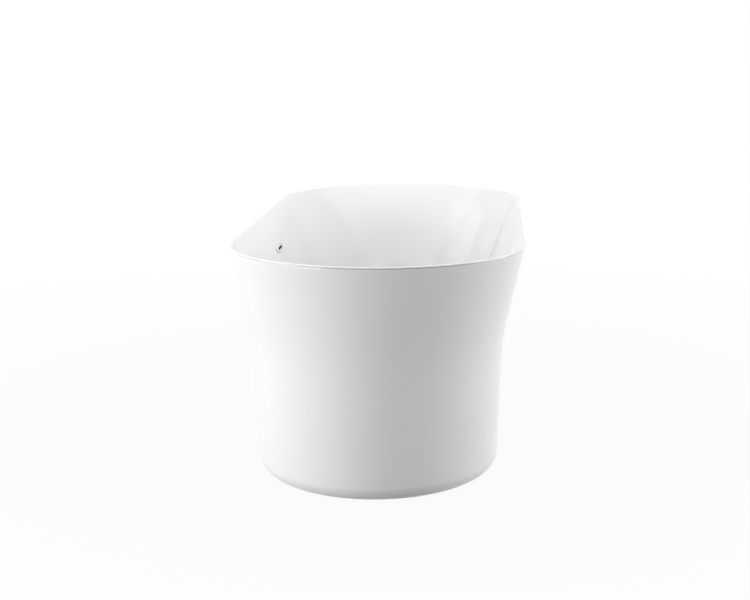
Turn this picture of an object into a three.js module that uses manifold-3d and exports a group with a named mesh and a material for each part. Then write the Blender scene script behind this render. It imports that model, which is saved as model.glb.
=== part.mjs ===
// Free-standing bathtub with a round-ended plan, a flared outer skirt, a steel support frame on four
// levelling feet, a click waste in the floor and a slotted overflow in the left long wall.
// Millimetres. X runs across the tub, Y along it, Z up. The origin is on the floor, under the centre.
import * as THREE from 'three';
import { mergeVertices } from 'three/addons/utils/BufferGeometryUtils.js';
import Module from 'manifold-3d';

const wasm = await Module();
wasm.setup();

// Overall size
const bathLength = 1700;
const bathWidth = 750;
const bathHeight = 580;

// Clearances
const seatGap = 0.3;
const wallGap = 0.5;
const cutOverrun = 1;
const weldDistance = 0.0001;

// Rim: a rolled lip that hangs over the skirt's top edge
const rimWidth = 10;
const rimRoll = 3;
const lipDrop = 3.4;

// Basin: the side wall's slope from upright falls evenly from the rim to the floor fillet
const basinSkin = 5;
const basinFloor = 7;
const floorHeight = 150;
const wallTopSlope = THREE.MathUtils.degToRad(28);
const wallLowSlope = THREE.MathUtils.degToRad(10);
const floorFillet = 55;
const floorFall = 4;
const backrestLean = 100;

// Skirt: a straight flare, a bend, a nearly upright base and a fillet that tucks in at the floor
const skirtSkin = 3.5;
const seamHeight = 1;
const seamSetback = 1;
const flareSlope = THREE.MathUtils.degToRad(13);
const flareDepth = 190;
const flareBend = 580;
const baseSlope = THREE.MathUtils.degToRad(2);
const baseFillet = 38;
const skirtClearance = 4;
const skirtReturn = 12;
const endTaperShare = 0.43;

// Bead in the seam
const beadSetback = 1.6;
const beadWidth = 2.6;

// Base board, bearers and rails
const boardThickness = 15;
const boardMargin = 10;
const boardParting = 100;
const tubeWall = 2;
const bearerHeight = 50;
const bearerWidth = 30;
const innerBearerSpacing = 320;
const outerBearerSetback = 40;
const railHeight = 30;
const railWidth = 30;
const railOverhang = 90;
const railOffset = 8;

// Levelling feet, set back from the tub's ends; the outer bearers are set back from the feet
const footSetback = 380;
const soleRadius = 27;
const soleThickness = 4;
const padRadius = 25;
const padThickness = 5;
const padHubRadius = 12;
const padHubHeight = 14;
const padSocketFloor = 4;
const padConeShare = 0.25;
const studRadius = 5;
const studEngagement = 45;
const studClearance = 0.4;
const studPassClearance = 1;
const collarWidth = 17;
const collarHeight = 8;
const lockNutWidth = 17;
const lockNutHeight = 8;
const bushRadius = 8;
const bushHeight = 14;

// Skirt brackets
const bracketThickness = 3;
const bracketWidth = 50;
const bracketTab = 36;
const bracketOffset = 110;
const bracketBoltRadius = 3;
const bracketBoltLength = 14;
const bracketBoltHeadWidth = 10;
const bracketBoltHeadHeight = 4;

// Waste
const wasteFlangeRadius = 36;
const wasteFlangeThickness = 2;
const wasteRecessDepth = 3;
const wasteRecessClearance = 1;
const wasteGasketThickness = 1;
const wasteThreadRadius = 23.5;
const wasteThreadClearance = 0.8;
const wasteThreadLength = 36;
const wasteBoreRadius = 20;
const wasteSeatRadius = 29;
const wasteSeatDepth = 1.2;
const wasteThroatRadius = 22;
const wasteThroatDepth = 2.5;
const webHubRadius = 9.5;
const webHubDrop = 7;
const webHeight = 6;
const webThickness = 3.5;
const webSpokes = 3;
const lowerGasketThickness = 3;
const bodyFlangeRadius = 37;
const bodyFlangeThickness = 4;
const bodyRadius = 28;
const bodyNeckHeight = 66;
const bodyTaperHeight = 10;
const tailRadius = 20;
const tailWall = 2.2;
const tailLength = 27;
const outletNutRadius = 27;
const outletNutHeight = 20;
const outletNutFloor = 4;
const outletNutLobes = 12;
const outletNutLobeDepth = 1.2;
const outletWasherThickness = 3;
const outletMouthRadius = 16;

// Click plug
const capRadius = 32;
const capRimHeight = 2.5;
const capDome = 4;
const capLift = 0.6;
const sealOuterRadius = 24;
const sealInnerRadius = 16;
const sealHeight = 3.2;
const sealTaper = 5.5;
const stemRadius = 3.5;
const stemLength = 24;
const stemBossRadius = 7;
const stemBossHeight = 4;
const cartridgeRadius = 5.5;
const cartridgeLength = 36;
const cartridgeFloor = 2.5;
const cartridgeBoreRadius = 4;
const cartridgeRise = 2;
const springRadius = 3;
const springWire = 0.45;
const springCurls = 5;

// Overflow, in a frame whose Y runs up the wall and whose Z points into the tub
const overflowDepth = 90;
const trimLength = 100;
const trimHeight = 21;
const trimThickness = 3.5;
const trimBevel = 1;
const slotLength = 72;
const slotHeight = 6;
const collarLength = 77;
const collarRise = 13;
const collarDepth = 7;
const wallSlotClearance = 0.6;
const overflowGasketThickness = 2;
const overflowBodyLength = 110;
const overflowBodyRise = 34;
const overflowBodyTop = 10.5;
const overflowBodyBottom = 20;
const overflowBodyWall = 2.5;
const overflowScrewSpacing = 90;
const overflowScrewRadius = 2;
const overflowScrewLength = 15;
const overflowScrewHeadRadius = 3.8;
const overflowScrewHeadHeight = 2.2;
const spigotSetback = 19;
const spigotLength = 22;

// Overflow hose
const hoseRadius = 11;
const hoseBoreRadius = 8.5;
const hoseBend = 90;
const hoseLead = 14;
const hoseFit = 0.5;
const hoseKneeReach = 76;
const hoseEndGap = 1.5;
const spigotWall = 1.7;
const portDrop = 34;
const portLength = 24;
const clampThickness = 1.4;
const clampWidth = 9;
const clampEarLength = 7;
const clampEarHeight = 6;
const clampInset = 9;

// Facets
const endSteps = 20;
const roundSteps = 24;
const smallSteps = 14;

// Places worked out from the sizes
const halfWidth = bathWidth / 2;
const straightHalf = (bathLength - bathWidth) / 2;
const lipHeight = bathHeight - lipDrop;
const bathDepth = bathHeight - floorHeight;
const floorEdgeHeight = floorHeight + floorFall;
const undersideHeight = floorHeight - basinFloor;
const footSpacing = bathLength - 2 * footSetback;
const outerBearerSpacing = footSpacing - 2 * outerBearerSetback;

const between = (from, to, share) => from + (to - from) * share;
const stepsFrom = (first, last) => Array.from({ length: last - first + 1 }, (unused, i) => first + i);

// Closed loop at one height: two ends rounded as half ellipses, joined by straight sides
function loop({ taper = 0, trim = 0, lean = 0, z }) {
  const across = halfWidth - taper - trim;
  const along = halfWidth - taper * endTaperShare - trim;
  const middle = straightHalf - lean;
  const points = [];
  for (const side of [1, -1]) {
    for (let i = 0; i <= endSteps; i += 1) {
      const angle = (Math.PI * i) / endSteps;
      points.push([side * across * Math.cos(angle), side * (middle + along * Math.sin(angle)), z]);
    }
  }
  return points;
}

function ring(radius, z) {
  const count = 2 * (endSteps + 1);
  const points = [];
  for (let i = 0; i < count; i += 1) {
    const angle = (2 * Math.PI * (i + 0.5)) / count;
    points.push([radius * Math.cos(angle), radius * Math.sin(angle), z]);
  }
  return points;
}

// Joins a closed chain of loops, the last to the first, into one closed surface
function loft(loops) {
  const count = loops[0].length;
  const positions = loops.flat(2);
  const indices = [];
  loops.forEach((unused, row) => {
    const next = (row + 1) % loops.length;
    for (let i = 0; i < count; i += 1) {
      const j = (i + 1) % count;
      const [a, b, c, d] = [row * count + i, row * count + j, next * count + j, next * count + i];
      indices.push(a, b, c, a, c, d);
    }
  });
  return facedOut(positions, indices);
}

// Turns the faces over where their winding encloses a negative volume
function facedOut(positions, indices) {
  const at = (i) => new THREE.Vector3().fromArray(positions, 3 * i);
  let volume = 0;
  for (let t = 0; t < indices.length; t += 3) {
    volume += at(indices[t]).dot(at(indices[t + 1]).cross(at(indices[t + 2])));
  }
  const geometry = new THREE.BufferGeometry();
  geometry.setAttribute('position', new THREE.Float32BufferAttribute(positions, 3));
  geometry.setIndex(volume > 0 ? indices : [...indices].reverse());
  return geometry;
}

// Position-only geometry with shared vertices and no flat triangles
function welded(geometry) {
  const bare = geometry.clone();
  const extras = Object.keys(bare.attributes).filter((key) => key !== 'position');
  extras.forEach((key) => bare.deleteAttribute(key));
  const merged = mergeVertices(bare, weldDistance);
  const kept = [];
  for (let t = 0; t < merged.index.count; t += 3) {
    const [a, b, c] = [0, 1, 2].map((k) => merged.index.getX(t + k));
    if (a !== b && b !== c && c !== a) kept.push(a, b, c);
  }
  return facedOut([...merged.attributes.position.array], kept);
}

function toSolid(geometry) {
  const clean = welded(geometry);
  return new wasm.Manifold(new wasm.Mesh({
    numProp: 3,
    vertProperties: new Float32Array(clean.attributes.position.array),
    triVerts: new Uint32Array(clean.index.array),
  }));
}

function toGeometry(solid) {
  const { vertProperties, triVerts } = solid.getMesh();
  const geometry = new THREE.BufferGeometry();
  geometry.setAttribute('position', new THREE.BufferAttribute(new Float32Array(vertProperties), 3));
  geometry.setIndex([...triVerts]);
  return geometry;
}

function joined(first, ...rest) {
  return toGeometry(rest.reduce((sum, geometry) => sum.add(toSolid(geometry)), toSolid(first)));
}

function cut(first, ...rest) {
  return toGeometry(rest.reduce((sum, geometry) => sum.subtract(toSolid(geometry)), toSolid(first)));
}

// A solid turned about Z from points of radius and height
function turned(profile, steps = roundSteps) {
  const closed = profile[0][0] === 0 ? profile : [...profile, profile[0]];
  const points = closed.map(([radius, height]) => new THREE.Vector2(radius, height));
  return welded(new THREE.LatheGeometry(points, steps).rotateX(Math.PI / 2));
}

const cylinder = (radius, low, high, steps = roundSteps) => (
  turned([[0, low], [radius, low], [radius, high], [0, high]], steps));
const tube = (inner, outer, low, high, steps = roundSteps) => (
  turned([[inner, low], [outer, low], [outer, high], [inner, high]], steps));
const box = (x, y, z) => new THREE.BoxGeometry(x, y, z);

// A plate of the given outline, from height low to height high
function plate(shape, low, high, steps = smallSteps) {
  const options = { depth: high - low, bevelEnabled: false, curveSegments: steps / 2 };
  return welded(new THREE.ExtrudeGeometry(shape, options).translate(0, 0, low));
}

function roundEnded(length, height, path = new THREE.Shape()) {
  const radius = height / 2;
  const reach = length / 2 - radius;
  path.absarc(reach, 0, radius, -Math.PI / 2, Math.PI / 2);
  path.absarc(-reach, 0, radius, Math.PI / 2, 1.5 * Math.PI);
  path.closePath();
  return path;
}

function roundHole(radius) {
  return new THREE.Path().absarc(0, 0, radius, 0, 2 * Math.PI);
}

// Regular polygon with its first corner on X
function polygon(sides, radius) {
  return new THREE.Shape(stepsFrom(0, sides - 1).map((i) => {
    const angle = (2 * Math.PI * i) / sides;
    return new THREE.Vector2(radius * Math.cos(angle), radius * Math.sin(angle));
  }));
}

const hexagon = (acrossFlats) => polygon(6, acrossFlats / Math.sqrt(3));

function withHole(shape, hole) {
  shape.holes.push(hole);
  return shape;
}

// A rectangular tube with open ends, its length along Y, its section in X and Z
function boxTube(width, height, length) {
  const outer = new THREE.Shape();
  const inner = new THREE.Path();
  const corners = (path, x, z) => {
    path.moveTo(-x, -z).lineTo(x, -z).lineTo(x, z).lineTo(-x, z).closePath();
  };
  corners(outer, width / 2, height / 2);
  corners(inner, width / 2 - tubeWall, height / 2 - tubeWall);
  const geometry = plate(withHole(outer, inner), -length / 2, length / 2);
  return geometry.rotateX(Math.PI / 2);
}

// Materials
const finish = (color, roughness, metalness = 0) => (
  new THREE.MeshStandardMaterial({ color, roughness, metalness }));
const acrylic = finish('#f4f4f3', 0.12);
const sealant = finish('#dededc', 0.5);
const board = finish('#b99b6f', 0.8);
const painted = finish('#8d9196', 0.5, 0.6);
const zinc = finish('#b9bcc0', 0.35, 1);
const chrome = finish('#e6e7e9', 0.06, 1);
const brass = finish('#b59a52', 0.3, 1);
const blackRubber = finish('#232323', 0.8);
const whitePlastic = finish('#e9e9e6', 0.4);
const greyPlastic = finish('#55585c', 0.5);

const bathtub = new THREE.Group();
const sides = { left: -1, right: 1 };
const ends = { front: -1, rear: 1 };

function add(name, geometry, material, parent = bathtub) {
  const mesh = new THREE.Mesh(geometry, material);
  mesh.name = name;
  parent.add(mesh);
  return mesh;
}

// Basin: rolled rim, wall of evenly falling slope, fillet, falling floor and drain recess
const rollSlopeEnd = Math.PI / 2 - wallTopSlope;
const wallStart = {
  inset: rimWidth - rimRoll + rimRoll * Math.sin(rollSlopeEnd),
  z: bathHeight - rimRoll + rimRoll * Math.cos(rollSlopeEnd),
};
const wallDrop = bathDepth - floorFall - rimRoll * (1 - Math.cos(rollSlopeEnd))
  - floorFillet * (1 - Math.sin(wallLowSlope));
const filletStartHeight = wallStart.z - wallDrop;
const wallBend = wallDrop / (Math.sin(wallTopSlope) - Math.sin(wallLowSlope));

const wallAt = (slope) => ({
  inset: wallStart.inset + wallBend * (Math.cos(slope) - Math.cos(wallTopSlope)),
  z: wallStart.z - wallBend * (Math.sin(wallTopSlope) - Math.sin(slope)),
});
const filletInset = wallAt(wallLowSlope).inset;
const leanAt = (inset) => (backrestLean * (inset - wallStart.inset)) / (filletInset - wallStart.inset);
const floorHalfWidth = halfWidth - filletInset - floorFillet * Math.cos(wallLowSlope);
const floorStraightHalf = straightHalf - backrestLean;

// Loop on the wall at a slope, moved back from its face by the given skin
function wallLoop(slope, skin) {
  const { inset, z } = wallAt(slope);
  const trim = inset - skin * Math.cos(slope);
  return loop({ trim, lean: leanAt(inset), z: z - skin * Math.sin(slope) });
}

function filletLoop(slope, skin) {
  const inset = filletInset + floorFillet * (Math.cos(wallLowSlope) - Math.cos(slope));
  const z = filletStartHeight - floorFillet * (Math.sin(slope) - Math.sin(wallLowSlope));
  const trim = inset - skin * Math.cos(slope);
  return loop({ trim, lean: backrestLean, z: z - skin * Math.sin(slope) });
}

function basinGeometry() {
  const [rollSteps, wallSteps, filletSteps, backWallSteps, backFilletSteps] = [4, 12, 6, 8, 4];
  const outerRoll = stepsFrom(0, rollSteps).map((i) => {
    const angle = (i / rollSteps) * (Math.PI / 2);
    const trim = rimRoll - rimRoll * Math.cos(angle);
    return loop({ trim, z: bathHeight - rimRoll + rimRoll * Math.sin(angle) });
  });
  const innerRoll = stepsFrom(0, rollSteps - 1).map((i) => {
    const angle = (i / rollSteps) * rollSlopeEnd;
    const trim = rimWidth - rimRoll + rimRoll * Math.sin(angle);
    return loop({ trim, z: bathHeight - rimRoll + rimRoll * Math.cos(angle) });
  });
  const wall = stepsFrom(0, wallSteps).map((i) => (
    wallLoop(between(wallTopSlope, wallLowSlope, i / wallSteps), 0)));
  const fillet = stepsFrom(1, filletSteps).map((i) => (
    filletLoop(between(wallLowSlope, Math.PI / 2, i / filletSteps), 0)));
  const holeRadius = wasteThreadRadius + wasteThreadClearance;
  const recessRadius = wasteFlangeRadius + wasteRecessClearance;
  const drain = [
    ring(recessRadius, floorHeight),
    ring(recessRadius, floorHeight - wasteRecessDepth),
    ring(holeRadius, floorHeight - wasteRecessDepth),
    ring(holeRadius, undersideHeight),
  ];
  const underside = loop({ trim: halfWidth - floorHalfWidth, lean: backrestLean, z: undersideHeight });
  const backFillet = stepsFrom(1, backFilletSteps).map((i) => (
    filletLoop(between(Math.PI / 2, wallLowSlope, i / backFilletSteps), basinSkin)));
  const lipSine = (lipHeight - wallStart.z + wallBend * Math.sin(wallTopSlope)) / (wallBend - basinSkin);
  const lipSlope = Math.asin(lipSine);
  const backWall = stepsFrom(1, backWallSteps).map((i) => (
    wallLoop(between(wallLowSlope, lipSlope, i / backWallSteps), basinSkin)));
  const lipEdge = loop({ z: lipHeight });
  return loft([
    lipEdge, ...outerRoll, ...innerRoll, ...wall, ...fillet, ...drain,
    underside, ...backFillet, ...backWall,
  ]);
}

// Overflow frame: its origin is on the wall's face, at the overflow's depth under the rim
const overflowDrop = wallStart.z - bathHeight + overflowDepth;
const overflowSlope = Math.asin(Math.sin(wallTopSlope) - overflowDrop / wallBend);
const overflowFrame = new THREE.Group();
overflowFrame.position.set(wallAt(overflowSlope).inset - halfWidth, 0, bathHeight - overflowDepth);
overflowFrame.quaternion.setFromRotationMatrix(new THREE.Matrix4().makeBasis(
  new THREE.Vector3(0, 1, 0),
  new THREE.Vector3(-Math.sin(overflowSlope), 0, Math.cos(overflowSlope)),
  new THREE.Vector3(Math.cos(overflowSlope), 0, Math.sin(overflowSlope)),
));
overflowFrame.updateMatrix();
bathtub.add(overflowFrame);

const wallSlotLength = collarLength + 2 * wallSlotClearance;
const wallSlotRise = collarRise + 2 * wallSlotClearance;
const screwPlaces = [-overflowScrewSpacing / 2, overflowScrewSpacing / 2];
const screwHeadDepth = overflowScrewHeadHeight + 2 * wallGap;

const screwHoles = (radius, low, high) => screwPlaces.map((x) => (
  cylinder(radius, low, high, smallSteps).translate(x, 0, 0)));

function overflowCuts() {
  const behind = -basinSkin - cutOverrun;
  return [
    plate(roundEnded(wallSlotLength, wallSlotRise), behind, cutOverrun),
    ...screwHoles(overflowScrewHeadRadius + wallGap, -screwHeadDepth, cutOverrun),
    ...screwHoles(overflowScrewRadius + wallGap, behind, cutOverrun),
  ].map((geometry) => geometry.applyMatrix4(overflowFrame.matrix));
}

add('basin_shell', cut(basinGeometry(), ...overflowCuts()), acrylic);

// Skirt: profile of the outer face, with its slope from upright at each point
const skirtTop = lipHeight - seamHeight;
const flareEnd = bathHeight - flareDepth;
const flareEndTaper = (skirtTop - flareEnd) * Math.tan(flareSlope);
const bendEndHeight = flareEnd - flareBend * (Math.sin(flareSlope) - Math.sin(baseSlope));
const bendEndTaper = flareEndTaper + flareBend * (Math.cos(baseSlope) - Math.cos(flareSlope));
const baseEndHeight = skirtClearance + baseFillet * (1 - Math.sin(baseSlope));
const baseEndTaper = bendEndTaper + (bendEndHeight - baseEndHeight) * Math.tan(baseSlope);
const baseTaperAt = (z) => bendEndTaper + (bendEndHeight - z) * Math.tan(baseSlope);

function skirtLoops(skin, bendSteps, filletSteps) {
  const offset = (slope) => (
    { trim: seamSetback + skin * Math.cos(slope), rise: skin * Math.sin(slope) });
  const bend = stepsFrom(0, bendSteps).map((i) => {
    const slope = between(flareSlope, baseSlope, i / bendSteps);
    const { trim, rise } = offset(slope);
    const taper = flareEndTaper + flareBend * (Math.cos(slope) - Math.cos(flareSlope));
    const z = flareEnd - flareBend * (Math.sin(flareSlope) - Math.sin(slope));
    return loop({ taper, trim, z: z + rise });
  });
  const fillet = stepsFrom(0, filletSteps).map((i) => {
    const slope = between(baseSlope, Math.PI / 2, i / filletSteps);
    const { trim, rise } = offset(slope);
    const tuck = baseFillet * (Math.cos(baseSlope) - Math.cos(slope));
    const z = baseEndHeight - baseFillet * (Math.sin(slope) - Math.sin(baseSlope));
    return loop({ taper: baseEndTaper, trim: trim + tuck, z: z + rise });
  });
  const topEdge = loop({ trim: seamSetback + skin / Math.cos(flareSlope), z: skirtTop });
  const returnTrim = seamSetback + baseFillet * Math.cos(baseSlope) + skirtReturn;
  const returnEdge = loop({ taper: baseEndTaper, trim: returnTrim, z: skirtClearance + skin });
  return [topEdge, ...bend, ...fillet, returnEdge];
}

const outerFace = skirtLoops(0, 7, 7);
const innerFace = skirtLoops(skirtSkin, 6, 5);
add('outer_skirt', loft([...outerFace, ...innerFace.reverse()]), acrylic);

const beadLoops = [
  [beadSetback, skirtTop + seatGap],
  [beadSetback, lipHeight - seatGap],
  [beadSetback + beadWidth, lipHeight - seatGap],
  [beadSetback + beadWidth, skirtTop + seatGap],
];
add('rim_bead', loft(beadLoops.map(([trim, z]) => loop({ trim, z }))), sealant);

// Base boards under the flat of the floor, one at each end, with the waste between them
const boardTop = undersideHeight - seatGap;
const boardBottom = boardTop - boardThickness;
const boardHalfWidth = floorHalfWidth - boardMargin;
for (const [end, sign] of Object.entries(ends)) {
  const outline = new THREE.Shape().moveTo(boardHalfWidth, boardParting / 2);
  outline.lineTo(boardHalfWidth, floorStraightHalf);
  outline.absarc(0, floorStraightHalf, boardHalfWidth, 0, Math.PI);
  outline.lineTo(-boardHalfWidth, boardParting / 2).closePath();
  const halfBoard = plate(outline, boardBottom, boardTop, 2 * roundSteps);
  add('base_board_' + end, halfBoard.rotateZ(sign > 0 ? 0 : Math.PI), board);
}

// Bearers across the tub, on two rails along it
const bearerTop = boardBottom - seatGap;
const bearerBottom = bearerTop - bearerHeight;
const railTop = bearerBottom - seatGap;
const railBottom = railTop - railHeight;
const railPlace = floorHalfWidth + railOffset;
const bearerLength = 2 * railPlace + railWidth;
const railLength = outerBearerSpacing + 2 * railOverhang;
const bearerPlaces = { front: -outerBearerSpacing, middle_front: -innerBearerSpacing,
  middle_rear: innerBearerSpacing, rear: outerBearerSpacing };
for (const [place, spacing] of Object.entries(bearerPlaces)) {
  const geometry = boxTube(bearerWidth, bearerHeight, bearerLength).rotateZ(Math.PI / 2);
  const bearer = add('bearer_' + place, geometry, painted);
  bearer.position.set(0, spacing / 2, bearerTop - bearerHeight / 2);
}

const footReach = footSpacing / 2;
const bracketReach = footReach - bracketOffset;
for (const [side, sign] of Object.entries(sides)) {
  const cuts = Object.values(ends).flatMap((end) => [
    cylinder(bushRadius + seatGap, -railHeight, 0, smallSteps).translate(0, end * footReach, 0),
    cylinder(studRadius + studPassClearance, 0, railHeight, smallSteps).translate(0, end * footReach, 0),
    cylinder(bracketBoltRadius + seatGap, 0, railWidth, smallSteps)
      .rotateY((sign * Math.PI) / 2).translate(0, end * bracketReach, 0),
  ]);
  const rail = add('rail_' + side, cut(boxTube(railWidth, railHeight, railLength), ...cuts), painted);
  rail.position.set(sign * railPlace, 0, railTop - railHeight / 2);
}

// Feet: bush and lock nut on the rail; the stud turns and carries its pad down
const lockNutTop = railBottom - seatGap;
const collarTop = lockNutTop - lockNutHeight - seatGap;
const padBottom = soleThickness + seatGap;
const padTop = padBottom + padThickness + padHubHeight;
const socketBottom = padBottom + padSocketFloor;
const studBore = studRadius + studClearance;
const hubFoot = padBottom + padThickness + padConeShare * (padRadius - padHubRadius);
const padProfile = [
  [0, padBottom], [padRadius, padBottom], [padRadius, padBottom + padThickness],
  [padHubRadius, hubFoot], [padHubRadius, padTop],
  [studBore, padTop], [studBore, socketBottom], [0, socketBottom],
];
for (const [end, endSign] of Object.entries(ends)) {
  for (const [side, sideSign] of Object.entries(sides)) {
    const foot = new THREE.Group();
    foot.position.set(sideSign * railPlace, endSign * footReach, 0);
    bathtub.add(foot);
    const name = 'foot_' + end + '_' + side;
    add(name + '_sole', cylinder(soleRadius, 0, soleThickness), blackRubber, foot);
    add(name + '_pad', turned(padProfile), greyPlastic, foot);
    const shank = cylinder(studRadius, socketBottom + seatGap, railBottom + studEngagement, smallSteps);
    const collar = plate(hexagon(collarWidth), collarTop - collarHeight, collarTop);
    add(name + '_stud', joined(shank, collar), zinc, foot);
    const nutShape = withHole(hexagon(lockNutWidth), roundHole(studBore));
    add(name + '_lock_nut', plate(nutShape, lockNutTop - lockNutHeight, lockNutTop), zinc, foot);
    const bush = tube(studBore, bushRadius, railBottom, railBottom + bushHeight, smallSteps);
    add(name + '_bush', bush, zinc, foot);
  }
}

// Brackets: a leg on the rail's outer face, an arm, and a tab along the skirt's inner face
const railFace = railPlace + railWidth / 2;
const tabLow = railTop - bracketTab;
const skirtFaceAt = (z) => halfWidth - seamSetback - baseTaperAt(z) - skirtSkin / Math.cos(baseSlope);
function bracketGeometry() {
  const legFace = railFace + seatGap;
  const [lowFace, highFace] = [skirtFaceAt(tabLow) - seatGap, skirtFaceAt(railTop) - seatGap];
  const armLow = railTop - bracketThickness;
  const outline = new THREE.Shape([
    new THREE.Vector2(legFace, railBottom),
    new THREE.Vector2(legFace + bracketThickness, railBottom),
    new THREE.Vector2(legFace + bracketThickness, armLow),
    new THREE.Vector2(highFace - bracketThickness, armLow),
    new THREE.Vector2(lowFace - bracketThickness, tabLow),
    new THREE.Vector2(lowFace, tabLow),
    new THREE.Vector2(highFace, railTop),
    new THREE.Vector2(legFace, railTop),
  ]);
  const strip = plate(outline, -bracketWidth / 2, bracketWidth / 2).rotateX(Math.PI / 2);
  const holeEnd = legFace + bracketThickness + cutOverrun;
  const hole = cylinder(bracketBoltRadius + seatGap, railFace, holeEnd, smallSteps);
  return cut(strip, hole.rotateY(Math.PI / 2).translate(0, 0, railTop - railHeight / 2));
}

function bracketBolt() {
  const headFoot = railFace + bracketThickness + 2 * seatGap;
  const shank = cylinder(bracketBoltRadius, headFoot - bracketBoltLength, headFoot, smallSteps);
  const head = plate(hexagon(bracketBoltHeadWidth), headFoot, headFoot + bracketBoltHeadHeight);
  return joined(shank, head).rotateY(Math.PI / 2).translate(0, 0, railTop - railHeight / 2);
}

for (const [end, endSign] of Object.entries(ends)) {
  for (const [side, sideSign] of Object.entries(sides)) {
    const place = new THREE.Group();
    place.position.set(0, endSign * bracketReach, 0);
    place.rotation.z = sideSign > 0 ? 0 : Math.PI;
    bathtub.add(place);
    add('skirt_bracket_' + end + '_' + side, bracketGeometry(), zinc, place);
    add('bracket_bolt_' + end + '_' + side, bracketBolt(), zinc, place);
  }
}

// Waste: flange in the recess, gaskets, body under the floor, nut and washer at the outlet
const recessFloor = floorHeight - wasteRecessDepth;
const upperGasketTop = recessFloor + seatGap + wasteGasketThickness;
const flangeBottom = upperGasketTop + seatGap;
const flangeTop = flangeBottom + wasteFlangeThickness;
const threadEnd = flangeBottom - wasteThreadLength;
const webTop = flangeTop - webHubDrop;
const webBottom = webTop - webHeight;
const gasketInner = wasteThreadRadius + wasteThreadClearance;
const gasket = (low, high) => tube(gasketInner, wasteFlangeRadius, low, high);
add('waste_gasket_upper', gasket(recessFloor + seatGap, upperGasketTop), blackRubber);

function wasteFlange() {
  const shell = turned([
    [wasteBoreRadius, threadEnd], [wasteThreadRadius, threadEnd], [wasteThreadRadius, flangeBottom],
    [wasteFlangeRadius, flangeBottom], [wasteFlangeRadius, flangeTop], [wasteSeatRadius, flangeTop],
    [wasteThroatRadius, flangeTop - wasteSeatDepth],
    [wasteBoreRadius, flangeTop - wasteSeatDepth - wasteThroatDepth],
  ]);
  const reach = (wasteBoreRadius + wasteThreadRadius) / 2;
  const spokes = stepsFrom(0, webSpokes - 1).map((i) => (
    box(reach, webThickness, webHeight)
      .translate(reach / 2, 0, (webTop + webBottom) / 2).rotateZ((2 * Math.PI * i) / webSpokes)));
  const web = joined(cylinder(webHubRadius, webBottom, webTop), ...spokes);
  const hubBore = cylinder(cartridgeRadius + seatGap, webBottom - cutOverrun, webTop + cutOverrun);
  return cut(joined(shell, web), hubBore);
}
add('waste_flange', wasteFlange(), chrome);

const lowerGasketTop = undersideHeight - seatGap;
const lowerGasketBottom = lowerGasketTop - lowerGasketThickness;
add('waste_gasket_lower', gasket(lowerGasketBottom, lowerGasketTop), blackRubber);

const bodyTop = lowerGasketBottom - seatGap;
const neckBottom = bodyTop - bodyNeckHeight;
const tailTop = neckBottom - bodyTaperHeight;
const tailEnd = tailTop - tailLength;
const tailBore = tailRadius - tailWall;
const portHeight = bodyTop - portDrop;
const spigotRadius = hoseBoreRadius - hoseFit;
const spigotBore = spigotRadius - spigotWall;
const portEnd = bodyRadius + portLength;
function wasteBody() {
  const outer = turned([
    [0, tailEnd], [tailRadius, tailEnd], [tailRadius, tailTop], [bodyRadius, neckBottom],
    [bodyRadius, bodyTop - bodyFlangeThickness], [bodyFlangeRadius, bodyTop - bodyFlangeThickness],
    [bodyFlangeRadius, bodyTop], [0, bodyTop],
  ]);
  const sideways = (radius, reach) => (
    cylinder(radius, 0, reach, smallSteps).rotateY(-Math.PI / 2).translate(0, 0, portHeight));
  const boreRadius = wasteThreadRadius + seatGap;
  const boreShoulder = threadEnd - cutOverrun;
  const bore = turned([
    [0, tailEnd - cutOverrun], [tailBore, tailEnd - cutOverrun], [tailBore, tailTop],
    [wasteBoreRadius, neckBottom], [wasteBoreRadius, boreShoulder], [boreRadius, boreShoulder],
    [boreRadius, bodyTop + cutOverrun], [0, bodyTop + cutOverrun],
  ]);
  const port = sideways(spigotRadius, portEnd);
  return cut(joined(outer, port), bore, sideways(spigotBore, portEnd + cutOverrun));
}
add('waste_body', wasteBody(), whitePlastic);

const outletNutBottom = tailEnd - outletWasherThickness - outletNutFloor - 2 * seatGap;
function outletNut() {
  const points = stepsFrom(0, 4 * outletNutLobes - 1).map((i) => {
    const radius = outletNutRadius - (i % 4 < 2 ? 0 : outletNutLobeDepth);
    const angle = (2 * Math.PI * i) / (4 * outletNutLobes);
    return new THREE.Vector2(radius * Math.cos(angle), radius * Math.sin(angle));
  });
  const grip = plate(new THREE.Shape(points), outletNutBottom, outletNutBottom + outletNutHeight);
  const floorTop = outletNutBottom + outletNutFloor;
  const bore = turned([
    [0, outletNutBottom - cutOverrun], [outletMouthRadius, outletNutBottom - cutOverrun],
    [outletMouthRadius, floorTop], [tailRadius + seatGap, floorTop],
    [tailRadius + seatGap, outletNutBottom + outletNutHeight + cutOverrun],
    [0, outletNutBottom + outletNutHeight + cutOverrun],
  ]);
  return cut(grip, bore);
}
add('outlet_nut', outletNut(), greyPlastic);
const washerBottom = outletNutBottom + outletNutFloor + seatGap;
const washerTop = washerBottom + outletWasherThickness;
add('outlet_washer', tube(outletMouthRadius, tailRadius - seatGap, washerBottom, washerTop), blackRubber);

// Click plug: cap, seal and stem lift together; cartridge and spring stay with the flange
const capBottom = flangeTop + capLift;
const capProfile = [[0, capBottom], [capRadius, capBottom], [capRadius, capBottom + capRimHeight]];
const domeSteps = 5;
for (let i = 1; i < domeSteps; i += 1) {
  const angle = (i / domeSteps) * (Math.PI / 2);
  capProfile.push([capRadius * Math.cos(angle), capBottom + capRimHeight + capDome * Math.sin(angle)]);
}
capProfile.push([0, capBottom + capRimHeight + capDome]);
add('plug_cap', turned(capProfile), chrome);

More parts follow.
